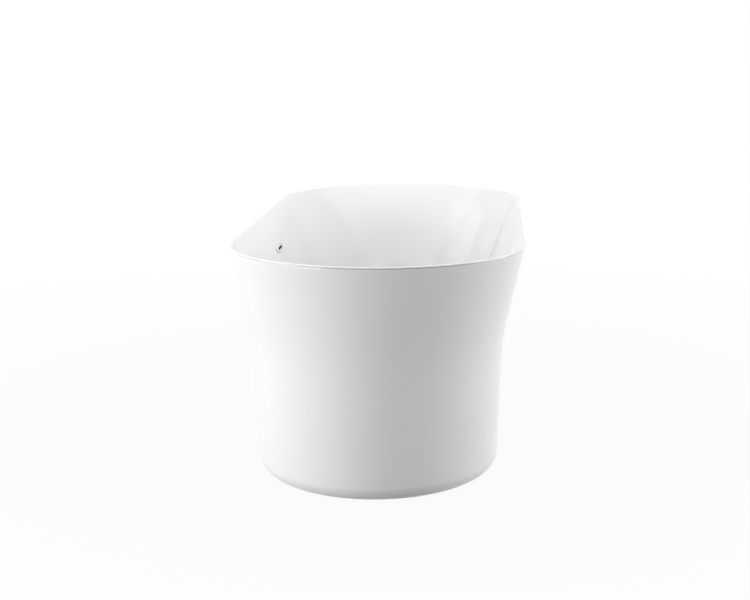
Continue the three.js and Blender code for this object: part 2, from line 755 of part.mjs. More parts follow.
const sealTop = capBottom - seatGap;
add('plug_seal', turned([
  [sealInnerRadius, sealTop - sealHeight], [sealOuterRadius - sealTaper, sealTop - sealHeight],
  [sealOuterRadius, sealTop], [sealInnerRadius, sealTop],
]), blackRubber);

const stemTop = capBottom - seatGap;
add('plug_stem', turned([
  [0, stemTop - stemLength], [stemRadius, stemTop - stemLength], [stemRadius, stemTop - stemBossHeight],
  [stemBossRadius, stemTop - stemBossHeight], [stemBossRadius, stemTop], [0, stemTop],
], smallSteps), brass);

const cartridgeTop = webTop + cartridgeRise;
const cartridgeBottom = cartridgeTop - cartridgeLength;
const cartridgeFloorTop = cartridgeBottom + cartridgeFloor;
add('plug_cartridge', turned([
  [0, cartridgeBottom], [cartridgeRadius, cartridgeBottom], [cartridgeRadius, cartridgeTop],
  [cartridgeBoreRadius, cartridgeTop], [cartridgeBoreRadius, cartridgeFloorTop], [0, cartridgeFloorTop],
], smallSteps), whitePlastic);

// Spring between the cartridge's floor and the stem, as one unbroken tube
class Helix extends THREE.Curve {
  getPoint(t) {
    const low = cartridgeFloorTop + springWire + seatGap;
    const high = stemTop - stemLength - springWire - seatGap;
    const angle = 2 * Math.PI * springCurls * t;
    const height = between(low, high, t);
    return new THREE.Vector3(springRadius * Math.cos(angle), springRadius * Math.sin(angle), height);
  }
}

function springGeometry() {
  const [stepsPerCurl, wireSides] = [8, 5];
  return welded(new THREE.ExtrudeGeometry(polygon(wireSides, springWire), {
    extrudePath: new Helix(), steps: stepsPerCurl * springCurls, bevelEnabled: false,
  }));
}
add('plug_spring', springGeometry(), zinc);

// Overflow trim: a round-ended plate with a slot, and a collar that passes through the wall
function overflowTrim() {
  const outline = roundEnded(trimLength - 2 * trimBevel, trimHeight - 2 * trimBevel);
  const face = new THREE.ExtrudeGeometry(outline, {
    depth: trimThickness - trimBevel, bevelThickness: trimBevel, bevelSize: trimBevel, bevelSegments: 2,
    curveSegments: smallSteps,
  });
  const low = wallGap;
  const backCut = box(2 * trimLength, 2 * trimHeight, 2 * trimThickness);
  backCut.translate(0, 0, low - trimThickness);
  const front = cut(face.translate(0, 0, low), backCut);
  const collar = plate(roundEnded(collarLength, collarRise), -collarDepth, low + trimThickness / 2);
  const slot = plate(roundEnded(slotLength, slotHeight), -collarDepth - cutOverrun, 2 * trimThickness);
  return cut(joined(front, collar), slot);
}
add('overflow_trim', overflowTrim(), chrome, overflowFrame);

const backFace = -basinSkin - wallGap;
const gasketBack = backFace - overflowGasketThickness;
function overflowGasket() {
  const mouth = roundEnded(wallSlotLength, wallSlotRise, new THREE.Path());
  const outline = withHole(roundEnded(overflowBodyLength, overflowBodyRise), mouth);
  const [low, high] = [gasketBack - cutOverrun, backFace + cutOverrun];
  const holes = screwHoles(overflowScrewRadius + wallGap, low, high);
  return cut(plate(outline, gasketBack, backFace), ...holes);
}
add('overflow_gasket', overflowGasket(), blackRubber, overflowFrame);

// Overflow body: a wedge, deeper towards its foot, with a spigot for the hose
function overflowBody() {
  const front = gasketBack - seatGap;
  const half = overflowBodyRise / 2;
  const wedge = (length, wall) => {
    const outline = new THREE.Shape([
      new THREE.Vector2(front + (wall ? cutOverrun : 0), half - wall),
      new THREE.Vector2(front - overflowBodyTop + wall, half - wall),
      new THREE.Vector2(front - overflowBodyBottom + wall, -half + wall),
      new THREE.Vector2(front + (wall ? cutOverrun : 0), -half + wall),
    ]);
    return plate(outline, -length / 2, length / 2).rotateY(-Math.PI / 2);
  };
  const spigotTop = -half + overflowBodyWall / 2;
  const spigotFoot = -half - spigotLength;
  const spigot = (radius, top, foot) => (
    cylinder(radius, foot, top, smallSteps).rotateX(-Math.PI / 2).translate(0, 0, -spigotSetback));
  const shell = joined(wedge(overflowBodyLength, 0), spigot(spigotRadius, spigotTop, spigotFoot));
  const chamber = wedge(wallSlotLength, overflowBodyWall);
  const bore = spigot(spigotBore, spigotTop + overflowBodyWall, spigotFoot - cutOverrun);
  const holeEnd = front - overflowScrewLength;
  const holes = screwHoles(overflowScrewRadius + seatGap, holeEnd, front + cutOverrun);
  return cut(shell, chamber, bore, ...holes);
}
add('overflow_body', overflowBody(), whitePlastic, overflowFrame);

screwPlaces.forEach((x, i) => {
  const headTop = -screwHeadDepth + wallGap + overflowScrewHeadHeight;
  const headFoot = -screwHeadDepth + wallGap;
  const head = cylinder(overflowScrewHeadRadius, headFoot, headTop, smallSteps);
  const shank = cylinder(overflowScrewRadius, headTop - overflowScrewLength, headTop, smallSteps);
  add('overflow_screw_' + (i + 1), joined(head, shank).translate(x, 0, 0), zinc, overflowFrame);
});

// Hose: down between basin and skirt, round under the floor fillet, and along to the waste body's port
class Bend extends THREE.Curve {
  constructor(from, corner, to, radius) {
    super();
    this.into = corner.clone().sub(from).normalize();
    this.out = to.clone().sub(corner).normalize();
    this.angle = this.into.angleTo(this.out);
    this.reach = radius * Math.tan(this.angle / 2);
    this.start = corner.clone().addScaledVector(this.into, -this.reach);
    this.end = corner.clone().addScaledVector(this.out, this.reach);
    const across = this.out.clone().addScaledVector(this.into, -this.out.dot(this.into)).normalize();
    this.centre = this.start.clone().addScaledVector(across, radius);
    this.across = across;
    this.radius = radius;
  }

  getPoint(t) {
    const angle = this.angle * t;
    return this.centre.clone()
      .addScaledVector(this.across, -this.radius * Math.cos(angle))
      .addScaledVector(this.into, this.radius * Math.sin(angle));
  }
}

const inTub = (x, y, z) => new THREE.Vector3(x, y, z).applyMatrix4(overflowFrame.matrix);
const bodyFoot = -overflowBodyRise / 2;
const hoseTop = inTub(0, bodyFoot - hoseEndGap, -spigotSetback);
const upperCorner = inTub(0, bodyFoot - spigotLength - hoseLead, -spigotSetback);
const lowerCorner = new THREE.Vector3(-floorHalfWidth - hoseKneeReach, 0, portHeight);
const hoseEnd = new THREE.Vector3(-bodyRadius - hoseEndGap, 0, portHeight);
const upperBend = new Bend(hoseTop, upperCorner, lowerCorner, hoseBend);
const lowerBend = new Bend(upperCorner, lowerCorner, hoseEnd, hoseBend);
const hoseRoute = new THREE.CurvePath();
hoseRoute.add(new THREE.LineCurve3(hoseTop, upperBend.start));
hoseRoute.add(upperBend);
hoseRoute.add(new THREE.LineCurve3(upperBend.end, lowerBend.start));
hoseRoute.add(lowerBend);
hoseRoute.add(new THREE.LineCurve3(lowerBend.end, hoseEnd));

function hoseGeometry() {
  const [steps, sides] = [26, 12];
  const outline = new THREE.Shape().absarc(0, 0, hoseRadius, 0, 2 * Math.PI);
  return welded(new THREE.ExtrudeGeometry(withHole(outline, roundHole(hoseBoreRadius)), {
    extrudePath: hoseRoute, steps, bevelEnabled: false, curveSegments: sides / 2,
  }));
}
add('overflow_hose', hoseGeometry(), whitePlastic);

// Clamps round the hose's two ends, each with an ear for its screw
function clamp() {
  const inner = hoseRadius + seatGap;
  const band = cylinder(inner + clampThickness, -clampWidth / 2, clampWidth / 2);
  const earReach = inner + clampEarLength;
  const ear = box(clampEarHeight, earReach, clampWidth).translate(0, earReach / 2, 0);
  return cut(joined(band, ear), cylinder(inner, -clampWidth, clampWidth));
}
const upperBand = clamp().rotateZ(Math.PI / 2).rotateX(-Math.PI / 2);
const upperClamp = add('hose_clamp_upper', upperBand, zinc, overflowFrame);
upperClamp.position.set(0, bodyFoot - hoseEndGap - clampInset, -spigotSetback);
const lowerClamp = add('hose_clamp_lower', clamp(), zinc);
lowerClamp.rotation.y = Math.PI / 2;
lowerClamp.position.set(hoseEnd.x - clampInset, 0, portHeight);

export default bathtub;
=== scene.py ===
import math

import bpy
from mathutils import Matrix, Vector


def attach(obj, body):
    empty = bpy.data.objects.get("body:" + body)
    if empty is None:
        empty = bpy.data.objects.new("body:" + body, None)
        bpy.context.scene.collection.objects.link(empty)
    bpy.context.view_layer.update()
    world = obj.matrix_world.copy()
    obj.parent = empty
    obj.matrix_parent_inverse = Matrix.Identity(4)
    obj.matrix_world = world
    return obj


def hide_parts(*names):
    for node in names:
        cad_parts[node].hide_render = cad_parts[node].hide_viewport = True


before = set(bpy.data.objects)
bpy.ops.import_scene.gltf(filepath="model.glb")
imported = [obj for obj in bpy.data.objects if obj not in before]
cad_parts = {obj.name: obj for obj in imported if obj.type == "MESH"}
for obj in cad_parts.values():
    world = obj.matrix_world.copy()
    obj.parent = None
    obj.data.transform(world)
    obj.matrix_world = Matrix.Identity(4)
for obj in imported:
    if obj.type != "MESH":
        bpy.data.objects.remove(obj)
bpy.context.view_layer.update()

# Sizes in millimetres. X runs across the tub, Y along it, Z up, from the floor under its centre.
MM = 0.001
BATH_WIDTH = 750
BATH_LENGTH = 1700
BATH_HEIGHT = 580
HALF_WIDTH = BATH_WIDTH / 2
STRAIGHT_HALF = (BATH_LENGTH - BATH_WIDTH) / 2
END_TAPER = 0.43
RIM_WIDTH = 10
RIM_ROLL = 3
LIP_DROP = 3.4
LIP_HEIGHT = BATH_HEIGHT - LIP_DROP
LIP_ROUND = 0.3
SKIN = 5
FLOOR_HEIGHT = 150
FLOOR_FALL = 4
FLOOR_THICKNESS = 7
FLOOR_EDGE = FLOOR_HEIGHT + FLOOR_FALL
UNDERSIDE = FLOOR_HEIGHT - FLOOR_THICKNESS
TOP_SLOPE = math.radians(28)
LOW_SLOPE = math.radians(10)
FLOOR_FILLET = 55
LEAN = 100
GAP = 0.3

ROLL_END = math.pi / 2 - TOP_SLOPE
WALL_INSET = RIM_WIDTH - RIM_ROLL + RIM_ROLL * math.sin(ROLL_END)
WALL_TOP = BATH_HEIGHT - RIM_ROLL + RIM_ROLL * math.cos(ROLL_END)
FILLET_TOP = FLOOR_EDGE + FLOOR_FILLET * (1 - math.sin(LOW_SLOPE))
WALL_BEND = (WALL_TOP - FILLET_TOP) / (math.sin(TOP_SLOPE) - math.sin(LOW_SLOPE))
FILLET_INSET = WALL_INSET + WALL_BEND * (math.cos(LOW_SLOPE) - math.cos(TOP_SLOPE))
FLOOR_HALF = HALF_WIDTH - FILLET_INSET - FLOOR_FILLET * math.cos(LOW_SLOPE)

# Fineness of the meshes
END_STEPS = 72
ROUND = 96
FINE = 48
TINY = 1e-6
NEARLY_STRAIGHT = math.radians(172)
SIDE_SHARE = 0.45
SHARPEST = 0.001


# Meshes

def sealed(points, faces, name):
    """A mesh object of points in millimetres, faces turned outwards."""
    mesh = bpy.data.meshes.new(name)
    mesh.from_pydata([[c * MM for c in p] for p in points], [], faces)
    volume = sum(mesh.vertices[f.vertices[0]].co.dot(
        mesh.vertices[f.vertices[i]].co.cross(mesh.vertices[f.vertices[i + 1]].co))
        for f in mesh.polygons for i in range(1, len(f.vertices) - 1))
    if volume < 0:
        mesh.flip_normals()
    mesh.validate()
    obj = bpy.data.objects.new(name, mesh)
    bpy.context.scene.collection.objects.link(obj)
    return obj


def piece(obj, look, body, nodes, crease=32):
    """Dresses a mesh object, sets its smooth shading, and puts it in place of its CAD nodes."""
    mesh = obj.data
    mesh.polygons.foreach_set("use_smooth", [True] * len(mesh.polygons))
    mesh.set_sharp_from_angle(angle=math.radians(crease))
    mesh.materials.clear()
    mesh.materials.append(LOOKS[look])
    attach(obj, body)
    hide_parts(*nodes)
    return obj


def loft(loops, ring=True):
    """Points and faces through loops of equal count, closed on itself or capped at both ends."""
    count = len(loops[0])
    points = [p for loop in loops for p in loop]
    faces = []
    for row in range(len(loops) if ring else len(loops) - 1):
        after = (row + 1) % len(loops)
        for i in range(count):
            j = (i + 1) % count
            faces.append((row * count + i, row * count + j, after * count + j, after * count + i))
    if not ring:
        for row, turn in ((0, 1), (len(loops) - 1, -1)):
            middle = [sum(p[k] for p in loops[row]) / count for k in range(3)]
            points.append(middle)
            faces += [(len(points) - 1, row * count + (i + 1) % count, row * count + i)[::turn]
                      for i in range(count)]
    return points, faces


def rounded(profile, radius, closed=True, steps=4):
    """A profile with its corners rounded, as far as its sides allow."""
    count = len(profile)
    made = []
    for i, (x, y) in enumerate(profile):
        if not closed and i in (0, count - 1):
            made.append((x, y))
            continue
        here = Vector((x, y))
        before, after = Vector(profile[i - 1]) - here, Vector(profile[(i + 1) % count]) - here
        if before.length < TINY or after.length < TINY:
            continue
        angle = before.angle(after)
        if angle > NEARLY_STRAIGHT:
            made.append((x, y))
            continue
        reach = min(radius / math.tan(angle / 2), SIDE_SHARE * before.length, SIDE_SHARE * after.length)
        start, end = here + before.normalized() * reach, here + after.normalized() * reach
        for k in range(steps + 1):
            t = k / steps
            at = start.lerp(here, t).lerp(here.lerp(end, t), t)
            made.append((at.x, at.y))
    return made


def turns(count):
    return [2 * math.pi * i / count for i in range(count)]


def ring(radius, height, angles):
    return [(radius * math.cos(a), radius * math.sin(a), height) for a in angles]


def circle(radius, height, count=ROUND):
    return ring(radius, height, turns(count))


def turned(profile, round_by=0.3, count=ROUND):
    """A solid turned about Z. A profile that starts and ends on the axis is capped."""
    solid = profile[0][0] == 0
    shape = rounded(profile, round_by, closed=not solid)
    loops = [circle(r, z, count) for r, z in shape if r > 0]
    return loft(loops, ring=not solid)


def placed(shape, matrix):
    points, faces = shape
    return [tuple(matrix @ Vector(p)) for p in points], faces


def merged(*shapes):
    points, faces = [], []
    for more_points, more_faces in shapes:
        faces += [tuple(len(points) + i for i in f) for f in more_faces]
        points += more_points
    return points, faces


def combined(obj, tools, operation="DIFFERENCE"):
    """The object with other objects cut from it or joined to it, which are used up."""
    for tool in tools:
        modifier = obj.modifiers.new("cut", "BOOLEAN")
        modifier.operation, modifier.solver, modifier.object = operation, "EXACT", tool
    bpy.context.view_layer.update()
    mesh = bpy.data.meshes.new_from_object(obj.evaluated_get(bpy.context.evaluated_depsgraph_get()))
    obj.modifiers.clear()
    obj.data = mesh
    for tool in tools:
        bpy.data.objects.remove(tool)
    return obj


def cuboid(low, high, bevel=0.0):
    """A box with bevelled edges, as stacked rounded rectangles."""
    (x0, y0, z0), (x1, y1, z1) = low, high

    def outline(inset, z):
        corners = [(x0 + inset, y0 + inset), (x1 - inset, y0 + inset),
                   (x1 - inset, y1 - inset), (x0 + inset, y1 - inset)]
        return [(x, y, z) for x, y in rounded(corners, max(bevel, SHARPEST))]

    if bevel <= 0:
        return loft([outline(0, z0), outline(0, z1)], ring=False)
    levels = [(bevel * (1 - math.sin(a)), z0 + bevel * (1 - math.cos(a)))
              for a in (0, math.pi / 6, math.pi / 3, math.pi / 2)]
    levels += [(inset, z0 + z1 - z) for inset, z in reversed(levels)]
    return loft([outline(inset, z) for inset, z in levels], ring=False)


# Materials

class Look:
    """A procedural material: a principled shader and shorthands for its nodes."""

    def __init__(self, name, roughness, metallic=0.0, ior=1.5, coat=0.0, coat_roughness=0.05):
        self.material = bpy.data.materials.new(name)
        self.material.use_nodes = True
        self.tree = self.material.node_tree
        self.shader = self.tree.nodes["Principled BSDF"]
        for socket, value in (("Roughness", roughness), ("Metallic", metallic), ("IOR", ior),
                              ("Coat Weight", coat), ("Coat Roughness", coat_roughness)):
            self.shader.inputs[socket].default_value = value
        self.where = self.tree.nodes.new("ShaderNodeTexCoord").outputs["Object"]

    def node(self, kind, inputs=None, **settings):
        made = self.tree.nodes.new(kind)
        for key, value in settings.items():
            setattr(made, key, value)
        for key, value in (inputs or {}).items():
            if isinstance(value, bpy.types.NodeSocket):
                self.tree.links.new(value, made.inputs[key])
            else:
                made.inputs[key].default_value = value
        return made

    def stretched(self, scale):
        return self.node("ShaderNodeMapping", {"Vector": self.where, "Scale": scale}).outputs[0]

    def noise(self, scale, detail=3.0, roughness=0.5, vector=None, distortion=0.0):
        return self.node("ShaderNodeTexNoise", {
            "Vector": vector or self.where, "Scale": scale, "Detail": detail,
            "Roughness": roughness, "Distortion": distortion}).outputs["Fac"]

    def cells(self, scale, vector=None, feature="F1", output="Distance"):
        return self.node("ShaderNodeTexVoronoi", {"Vector": vector or self.where, "Scale": scale},
                         feature=feature).outputs[output]

    def remap(self, value, low, high, to_low=0.0, to_high=1.0):
        return self.node("ShaderNodeMapRange", {
            "Value": value, "From Min": low, "From Max": high,
            "To Min": to_low, "To Max": to_high}).outputs[0]

    def mixed(self, factor, first, second):
        made = self.node("ShaderNodeMix", data_type="RGBA")
        for key, value in ((0, factor), (6, first), (7, second)):
            if isinstance(value, bpy.types.NodeSocket):
                self.tree.links.new(value, made.inputs[key])
            else:
                made.inputs[key].default_value = value if key == 0 else (*value, 1)
        return made.outputs[2]

    def worked(self, operation, first, second):
        return self.node("ShaderNodeMath", {0: first, 1: second}, operation=operation).outputs[0]

    def edges(self, low=0.52, high=0.62):
        """1 along outer edges, 0 elsewhere."""
        return self.remap(self.node("ShaderNodeNewGeometry").outputs["Pointiness"], low, high)

    def height(self):
        return self.node("ShaderNodeSeparateXYZ", {0: self.where}).outputs["Z"]

    def set(self, colour=None, roughness=None, bumps=()):
        normal = None
        for value, distance, strength in bumps:
            inputs = {"Height": value, "Distance": distance, "Strength": strength}
            if normal is not None:
                inputs["Normal"] = normal
            normal = self.node("ShaderNodeBump", inputs).outputs[0]
        for socket, value in (("Base Color", colour), ("Roughness", roughness), ("Normal", normal)):
            if value is not None:
                self.tree.links.new(value, self.shader.inputs[socket])
        return self.material


def acrylic():
    look = Look("gloss_white_acrylic", 0.05, ior=1.49)
    tint = look.mixed(look.noise(1.4, 2.0), (0.885, 0.887, 0.886), (0.905, 0.905, 0.9))
    dust = look.remap(look.noise(900, 2.0), 0.62, 0.8)
    # Painted shade: towards the floor, below 70 mm, the acrylic darkens to grey where the dust noise is
    # high, so it reads as dust specks and as painted shade at the skirt's foot.
    floor_shade = look.remap(look.height(), 0.07, 0.0)
    tint = look.mixed(look.worked("MULTIPLY", dust, look.worked("MULTIPLY", floor_shade, 0.5)),
                      tint, (0.72, 0.71, 0.69))
    smear = look.noise(7, 4.0, 0.6, look.stretched((1, 0.35, 1)), 0.6)
    scuff = look.remap(look.noise(260, 2.0, 0.5, look.stretched((1, 0.05, 0.3))), 0.66, 0.8, 0, 0.05)
    rough = look.worked("ADD", look.remap(smear, 0.3, 0.7, 0.03, 0.07), scuff)
    return look.set(tint, rough, [
        (look.noise(5, 1.0), 0.002, 0.05),
        (look.noise(420, 2.0), 0.00004, 0.1)])


def sealant():
    look = Look("pale_sealant", 0.5)
    tint = look.mixed(look.noise(60, 3.0), (0.66, 0.66, 0.64), (0.76, 0.76, 0.74))
    tint = look.mixed(look.remap(look.noise(14, 4.0), 0.58, 0.75, 0, 0.35), tint, (0.56, 0.53, 0.48))
    return look.set(tint, look.remap(look.noise(45), 0.3, 0.7, 0.42, 0.6),
                    [(look.noise(300, 3.0), 0.0002, 0.3)])


def particle_board():
    look = Look("particle_board", 0.85)
    flat = look.stretched((1, 1, 2.2))
    flake = look.cells(170, flat, output="Color")
    grey = look.node("ShaderNodeSeparateColor", {0: flake}).outputs[0]
    tint = look.mixed(grey, (0.42, 0.27, 0.13), (0.66, 0.49, 0.29))
    dark = look.remap(look.noise(420, 3.0, 0.6, flat), 0.6, 0.72, 0, 0.7)
    tint = look.mixed(dark, tint, (0.24, 0.14, 0.07))
    tint = look.mixed(look.remap(look.noise(4, 3.0), 0.45, 0.7, 0, 0.35), tint, (0.4, 0.28, 0.16))
    return look.set(tint, look.remap(look.noise(120), 0.3, 0.7, 0.72, 0.92),
                    [(look.cells(170, flat), 0.0006, 0.5), (look.noise(900, 3.0), 0.0002, 0.4)])


def powder_coat():
    look = Look("grey_powder_coat", 0.5, coat=0.15, coat_roughness=0.3)
    tint = look.mixed(look.noise(9, 3.0), (0.235, 0.25, 0.265), (0.3, 0.315, 0.33))
    chip = look.worked("MULTIPLY", look.edges(), look.remap(look.noise(150, 4.0), 0.5, 0.62))
    tint = look.mixed(chip, tint, (0.5, 0.5, 0.5))
    dust = look.remap(look.noise(18, 4.0, 0.6), 0.5, 0.75, 0, 0.3)
    tint = look.mixed(dust, tint, (0.5, 0.47, 0.42))
    return look.set(tint, look.remap(look.noise(40), 0.3, 0.7, 0.42, 0.62),
                    [(look.noise(1400, 2.0), 0.00015, 0.5)])


def zinc():
    look = Look("zinc_plate", 0.34, metallic=1.0)
    spangle = look.cells(260, output="Color")
    grey = look.node("ShaderNodeSeparateColor", {0: spangle}).outputs[1]
    tint = look.mixed(grey, (0.42, 0.43, 0.45), (0.58, 0.59, 0.6))
    tint = look.mixed(look.remap(look.noise(35, 4.0), 0.56, 0.74, 0, 0.5), tint, (0.62, 0.56, 0.4))
    tint = look.mixed(look.worked("MULTIPLY", look.edges(), 0.5), tint, (0.72, 0.72, 0.73))
    return look.set(tint, look.remap(look.noise(90, 3.0), 0.3, 0.7, 0.26, 0.46),
                    [(look.noise(700, 3.0), 0.00008, 0.35)])


def chrome():
    look = Look("polished_chrome", 0.05, metallic=1.0)
    tint = look.mixed(look.noise(22, 3.0), (0.78, 0.785, 0.79), (0.84, 0.84, 0.845))
    smear = look.remap(look.noise(60, 5.0, 0.65, distortion=0.8), 0.42, 0.72, 0.03, 0.11)
    spot = look.remap(look.cells(330), 0.1, 0.05, 0, 0.16)
    rare = look.remap(look.noise(40, 1.0), 0.56, 0.66)
    return look.set(tint, look.worked("ADD", smear, look.worked("MULTIPLY", spot, rare)),
                    [(look.noise(130, 2.0), 0.0001, 0.06)])


def brass():
    look = Look("turned_brass", 0.25, metallic=1.0)
    tint = look.mixed(look.noise(120, 3.0), (0.55, 0.36, 0.1), (0.66, 0.46, 0.16))
    tint = look.mixed(look.remap(look.noise(300, 4.0), 0.5, 0.7, 0, 0.5), tint, (0.3, 0.19, 0.07))
    rings = look.noise(1, 2.0, 0.6, look.stretched((200, 200, 5000)))
    return look.set(tint, look.remap(rings, 0.3, 0.7, 0.18, 0.38), [(rings, 0.00005, 0.4)])


def black_rubber():
    look = Look("black_rubber", 0.8, ior=1.45)
    tint = look.mixed(look.noise(60, 4.0), (0.012, 0.012, 0.013), (0.028, 0.028, 0.028))
    dust = look.remap(look.noise(240, 4.0, 0.65), 0.52, 0.72, 0, 0.3)
    tint = look.mixed(dust, tint, (0.13, 0.12, 0.11))
    return look.set(tint, look.remap(look.noise(110), 0.3, 0.7, 0.68, 0.9),
                    [(look.noise(1600, 2.0), 0.0002, 0.4)])


def moulded(name, dark, pale, dusty):
    look = Look(name, 0.45, ior=1.5)
    tint = look.mixed(look.noise(30, 3.0), dark, pale)
    tint = look.mixed(look.remap(look.noise(70, 5.0, 0.6), 0.52, 0.74, 0, 0.35), tint, dusty)
    tint = look.mixed(look.worked("MULTIPLY", look.edges(), 0.35), tint, pale)
    return look.set(tint, look.remap(look.noise(85, 3.0), 0.3, 0.7, 0.36, 0.56),
                    [(look.noise(2200, 2.0), 0.00008, 0.4), (look.noise(28, 2.0), 0.0006, 0.08)])


LOOKS = {
    "acrylic": acrylic(),
    "sealant": sealant(),
    "board": particle_board(),
    "frame_paint": powder_coat(),
    "zinc": zinc(),
    "chrome": chrome(),
    "brass": brass(),
    "black_rubber": black_rubber(),
    "white_plastic": moulded(
        "white_moulding", dark=(0.77, 0.77, 0.75), pale=(0.84, 0.84, 0.82), dusty=(0.66, 0.64, 0.6)),
    "grey_plastic": moulded(
        "grey_moulding", dark=(0.075, 0.08, 0.088), pale=(0.12, 0.125, 0.135), dusty=(0.2, 0.19, 0.18)),
}


# Basin, skirt and bead

WIDE_STEP = 0.06
NEAR_STEP = 0.01
NEAR_REACH = 0.15


def shares(dense):
    """Places along a straight side, from 1 to -1, closer together round the overflow."""
    wide = [1 - WIDE_STEP * i for i in range(1, 15)]
    near = [NEAR_REACH - WIDE_STEP * i for i in range(6)]
    if dense:
        near = [NEAR_REACH - NEAR_STEP * i for i in range(31)]
    return wide + near + [-s for s in reversed(wide)]


LEFT_SHARES, RIGHT_SHARES = shares(True), shares(False)


def loop(z, taper=0.0, trim=0.0, lean=0.0):
    """The tub's plan at a height. A taper takes less off the ends, a trim is even all round."""
    across = HALF_WIDTH - taper - trim
    along = HALF_WIDTH - taper * END_TAPER - trim
    middle = STRAIGHT_HALF - lean
    points = []
    for side, straight in ((1, LEFT_SHARES), (-1, RIGHT_SHARES)):
        for i in range(END_STEPS + 1):
            angle = math.pi * i / END_STEPS
            points.append((side * across * math.cos(angle),
                           side * (middle + along * math.sin(angle)), z))
        points += [(-side * across, side * share * middle, z) for share in straight]
    return points


def wall_at(slope):
    """Inset and height of the basin's wall where it slopes so."""
    return (WALL_INSET + WALL_BEND * (math.cos(slope) - math.cos(TOP_SLOPE)),
            WALL_TOP - WALL_BEND * (math.sin(TOP_SLOPE) - math.sin(slope)))


def lean_at(inset):
    return LEAN * (inset - WALL_INSET) / (FILLET_INSET - WALL_INSET)


def slope_at(z):
    return math.asin(math.sin(TOP_SLOPE) - (WALL_TOP - z) / WALL_BEND)


def wall_loop(slope, skin=0.0):
    inset, z = wall_at(slope)
    return loop(z - skin * math.sin(slope), trim=inset - skin * math.cos(slope), lean=lean_at(inset))


def fillet_loop(slope, skin=0.0):
    inset = FILLET_INSET + FLOOR_FILLET * (math.cos(LOW_SLOPE) - math.cos(slope))
    z = FILLET_TOP - FLOOR_FILLET * (math.sin(slope) - math.sin(LOW_SLOPE))
    return loop(z - skin * math.sin(slope), trim=inset - skin * math.cos(slope), lean=LEAN)


def spread(low, high, steps):
    return [low + (high - low) * i / steps for i in range(steps + 1)]


OVERFLOW_DROP = 90
OVERFLOW_Z = BATH_HEIGHT - OVERFLOW_DROP
OVERFLOW_SLOPE = slope_at(OVERFLOW_Z)
# The overflow's own frame: X along the tub, Y up the wall, Z out of it
OVERFLOW = Matrix.Translation((wall_at(OVERFLOW_SLOPE)[0] - HALF_WIDTH, 0, OVERFLOW_Z)) @ Matrix((
    (0, -math.sin(OVERFLOW_SLOPE), math.cos(OVERFLOW_SLOPE)),
    (1, 0, 0),
    (0, math.cos(OVERFLOW_SLOPE), math.sin(OVERFLOW_SLOPE)))).to_4x4()

RECESS_RADIUS = 37
RECESS_DEPTH = 3
RECESS_ROUND = 0.5
RECESS_SHOULDER = 0.6
RECESS_SWELL = 0.03
RECESS_CORNER = 0.4
DRAIN_RADIUS = 24.3
FLOOR_SHARES = (0.12, 0.25, 0.4, 0.55, 0.7, 0.82, 0.9, 0.95, 0.98)


def drain_loops(edge):
    """The falling floor, blended from the floor's edge to the round recess, and the recess itself."""
    count = len(edge)
    lengths = [0.0]
    for i in range(count):
        lengths.append(lengths[-1] + math.dist(edge[i][:2], edge[(i + 1) % count][:2]))
    start = next(i for i in range(count) if abs(edge[i][0]) < TINY)
    angles = [2 * math.pi * (length - lengths[start]) / lengths[-1] + math.pi / 2 for length in lengths[:-1]]
    recess = ring(RECESS_RADIUS, FLOOR_HEIGHT, angles)
    loops = []
    for t in FLOOR_SHARES:
        loops.append([tuple(a + (b - a) * t for a, b in zip(p, q)) for p, q in zip(edge, recess)])
    bottom = FLOOR_HEIGHT - RECESS_DEPTH
    profile = [
        (RECESS_RADIUS + RECESS_SHOULDER, FLOOR_HEIGHT + RECESS_SWELL),
        (RECESS_RADIUS, FLOOR_HEIGHT - RECESS_ROUND),
        (RECESS_RADIUS, bottom + RECESS_CORNER),
        (RECESS_RADIUS - RECESS_ROUND, bottom),
        (DRAIN_RADIUS + RECESS_ROUND, bottom),
        (DRAIN_RADIUS, bottom - RECESS_ROUND),
        (DRAIN_RADIUS, UNDERSIDE),
    ]
    return loops + [ring(radius, z, angles) for radius, z in profile]


# Rows of the basin's mesh, closer together under the rim and round the overflow
ROW = 3
RIM_ROWS = 5
RIM_ROWS_END = 22
OVERFLOW_ROWS = 15
OVERFLOW_REACH = 21
ROWS_ABOVE = 26
ROWS_BELOW = 30

# Holes for the overflow, in its own frame
HOLE_LENGTH = 78.2
HOLE_HEIGHT = 14.2
HOLE_BACK = -9
HOLE_FRONT = 3
SCREW_REACH = 45
SCREW_HOLE = 2.5
SINK_RADIUS = 4.3
SINK_FLOOR = -3.2


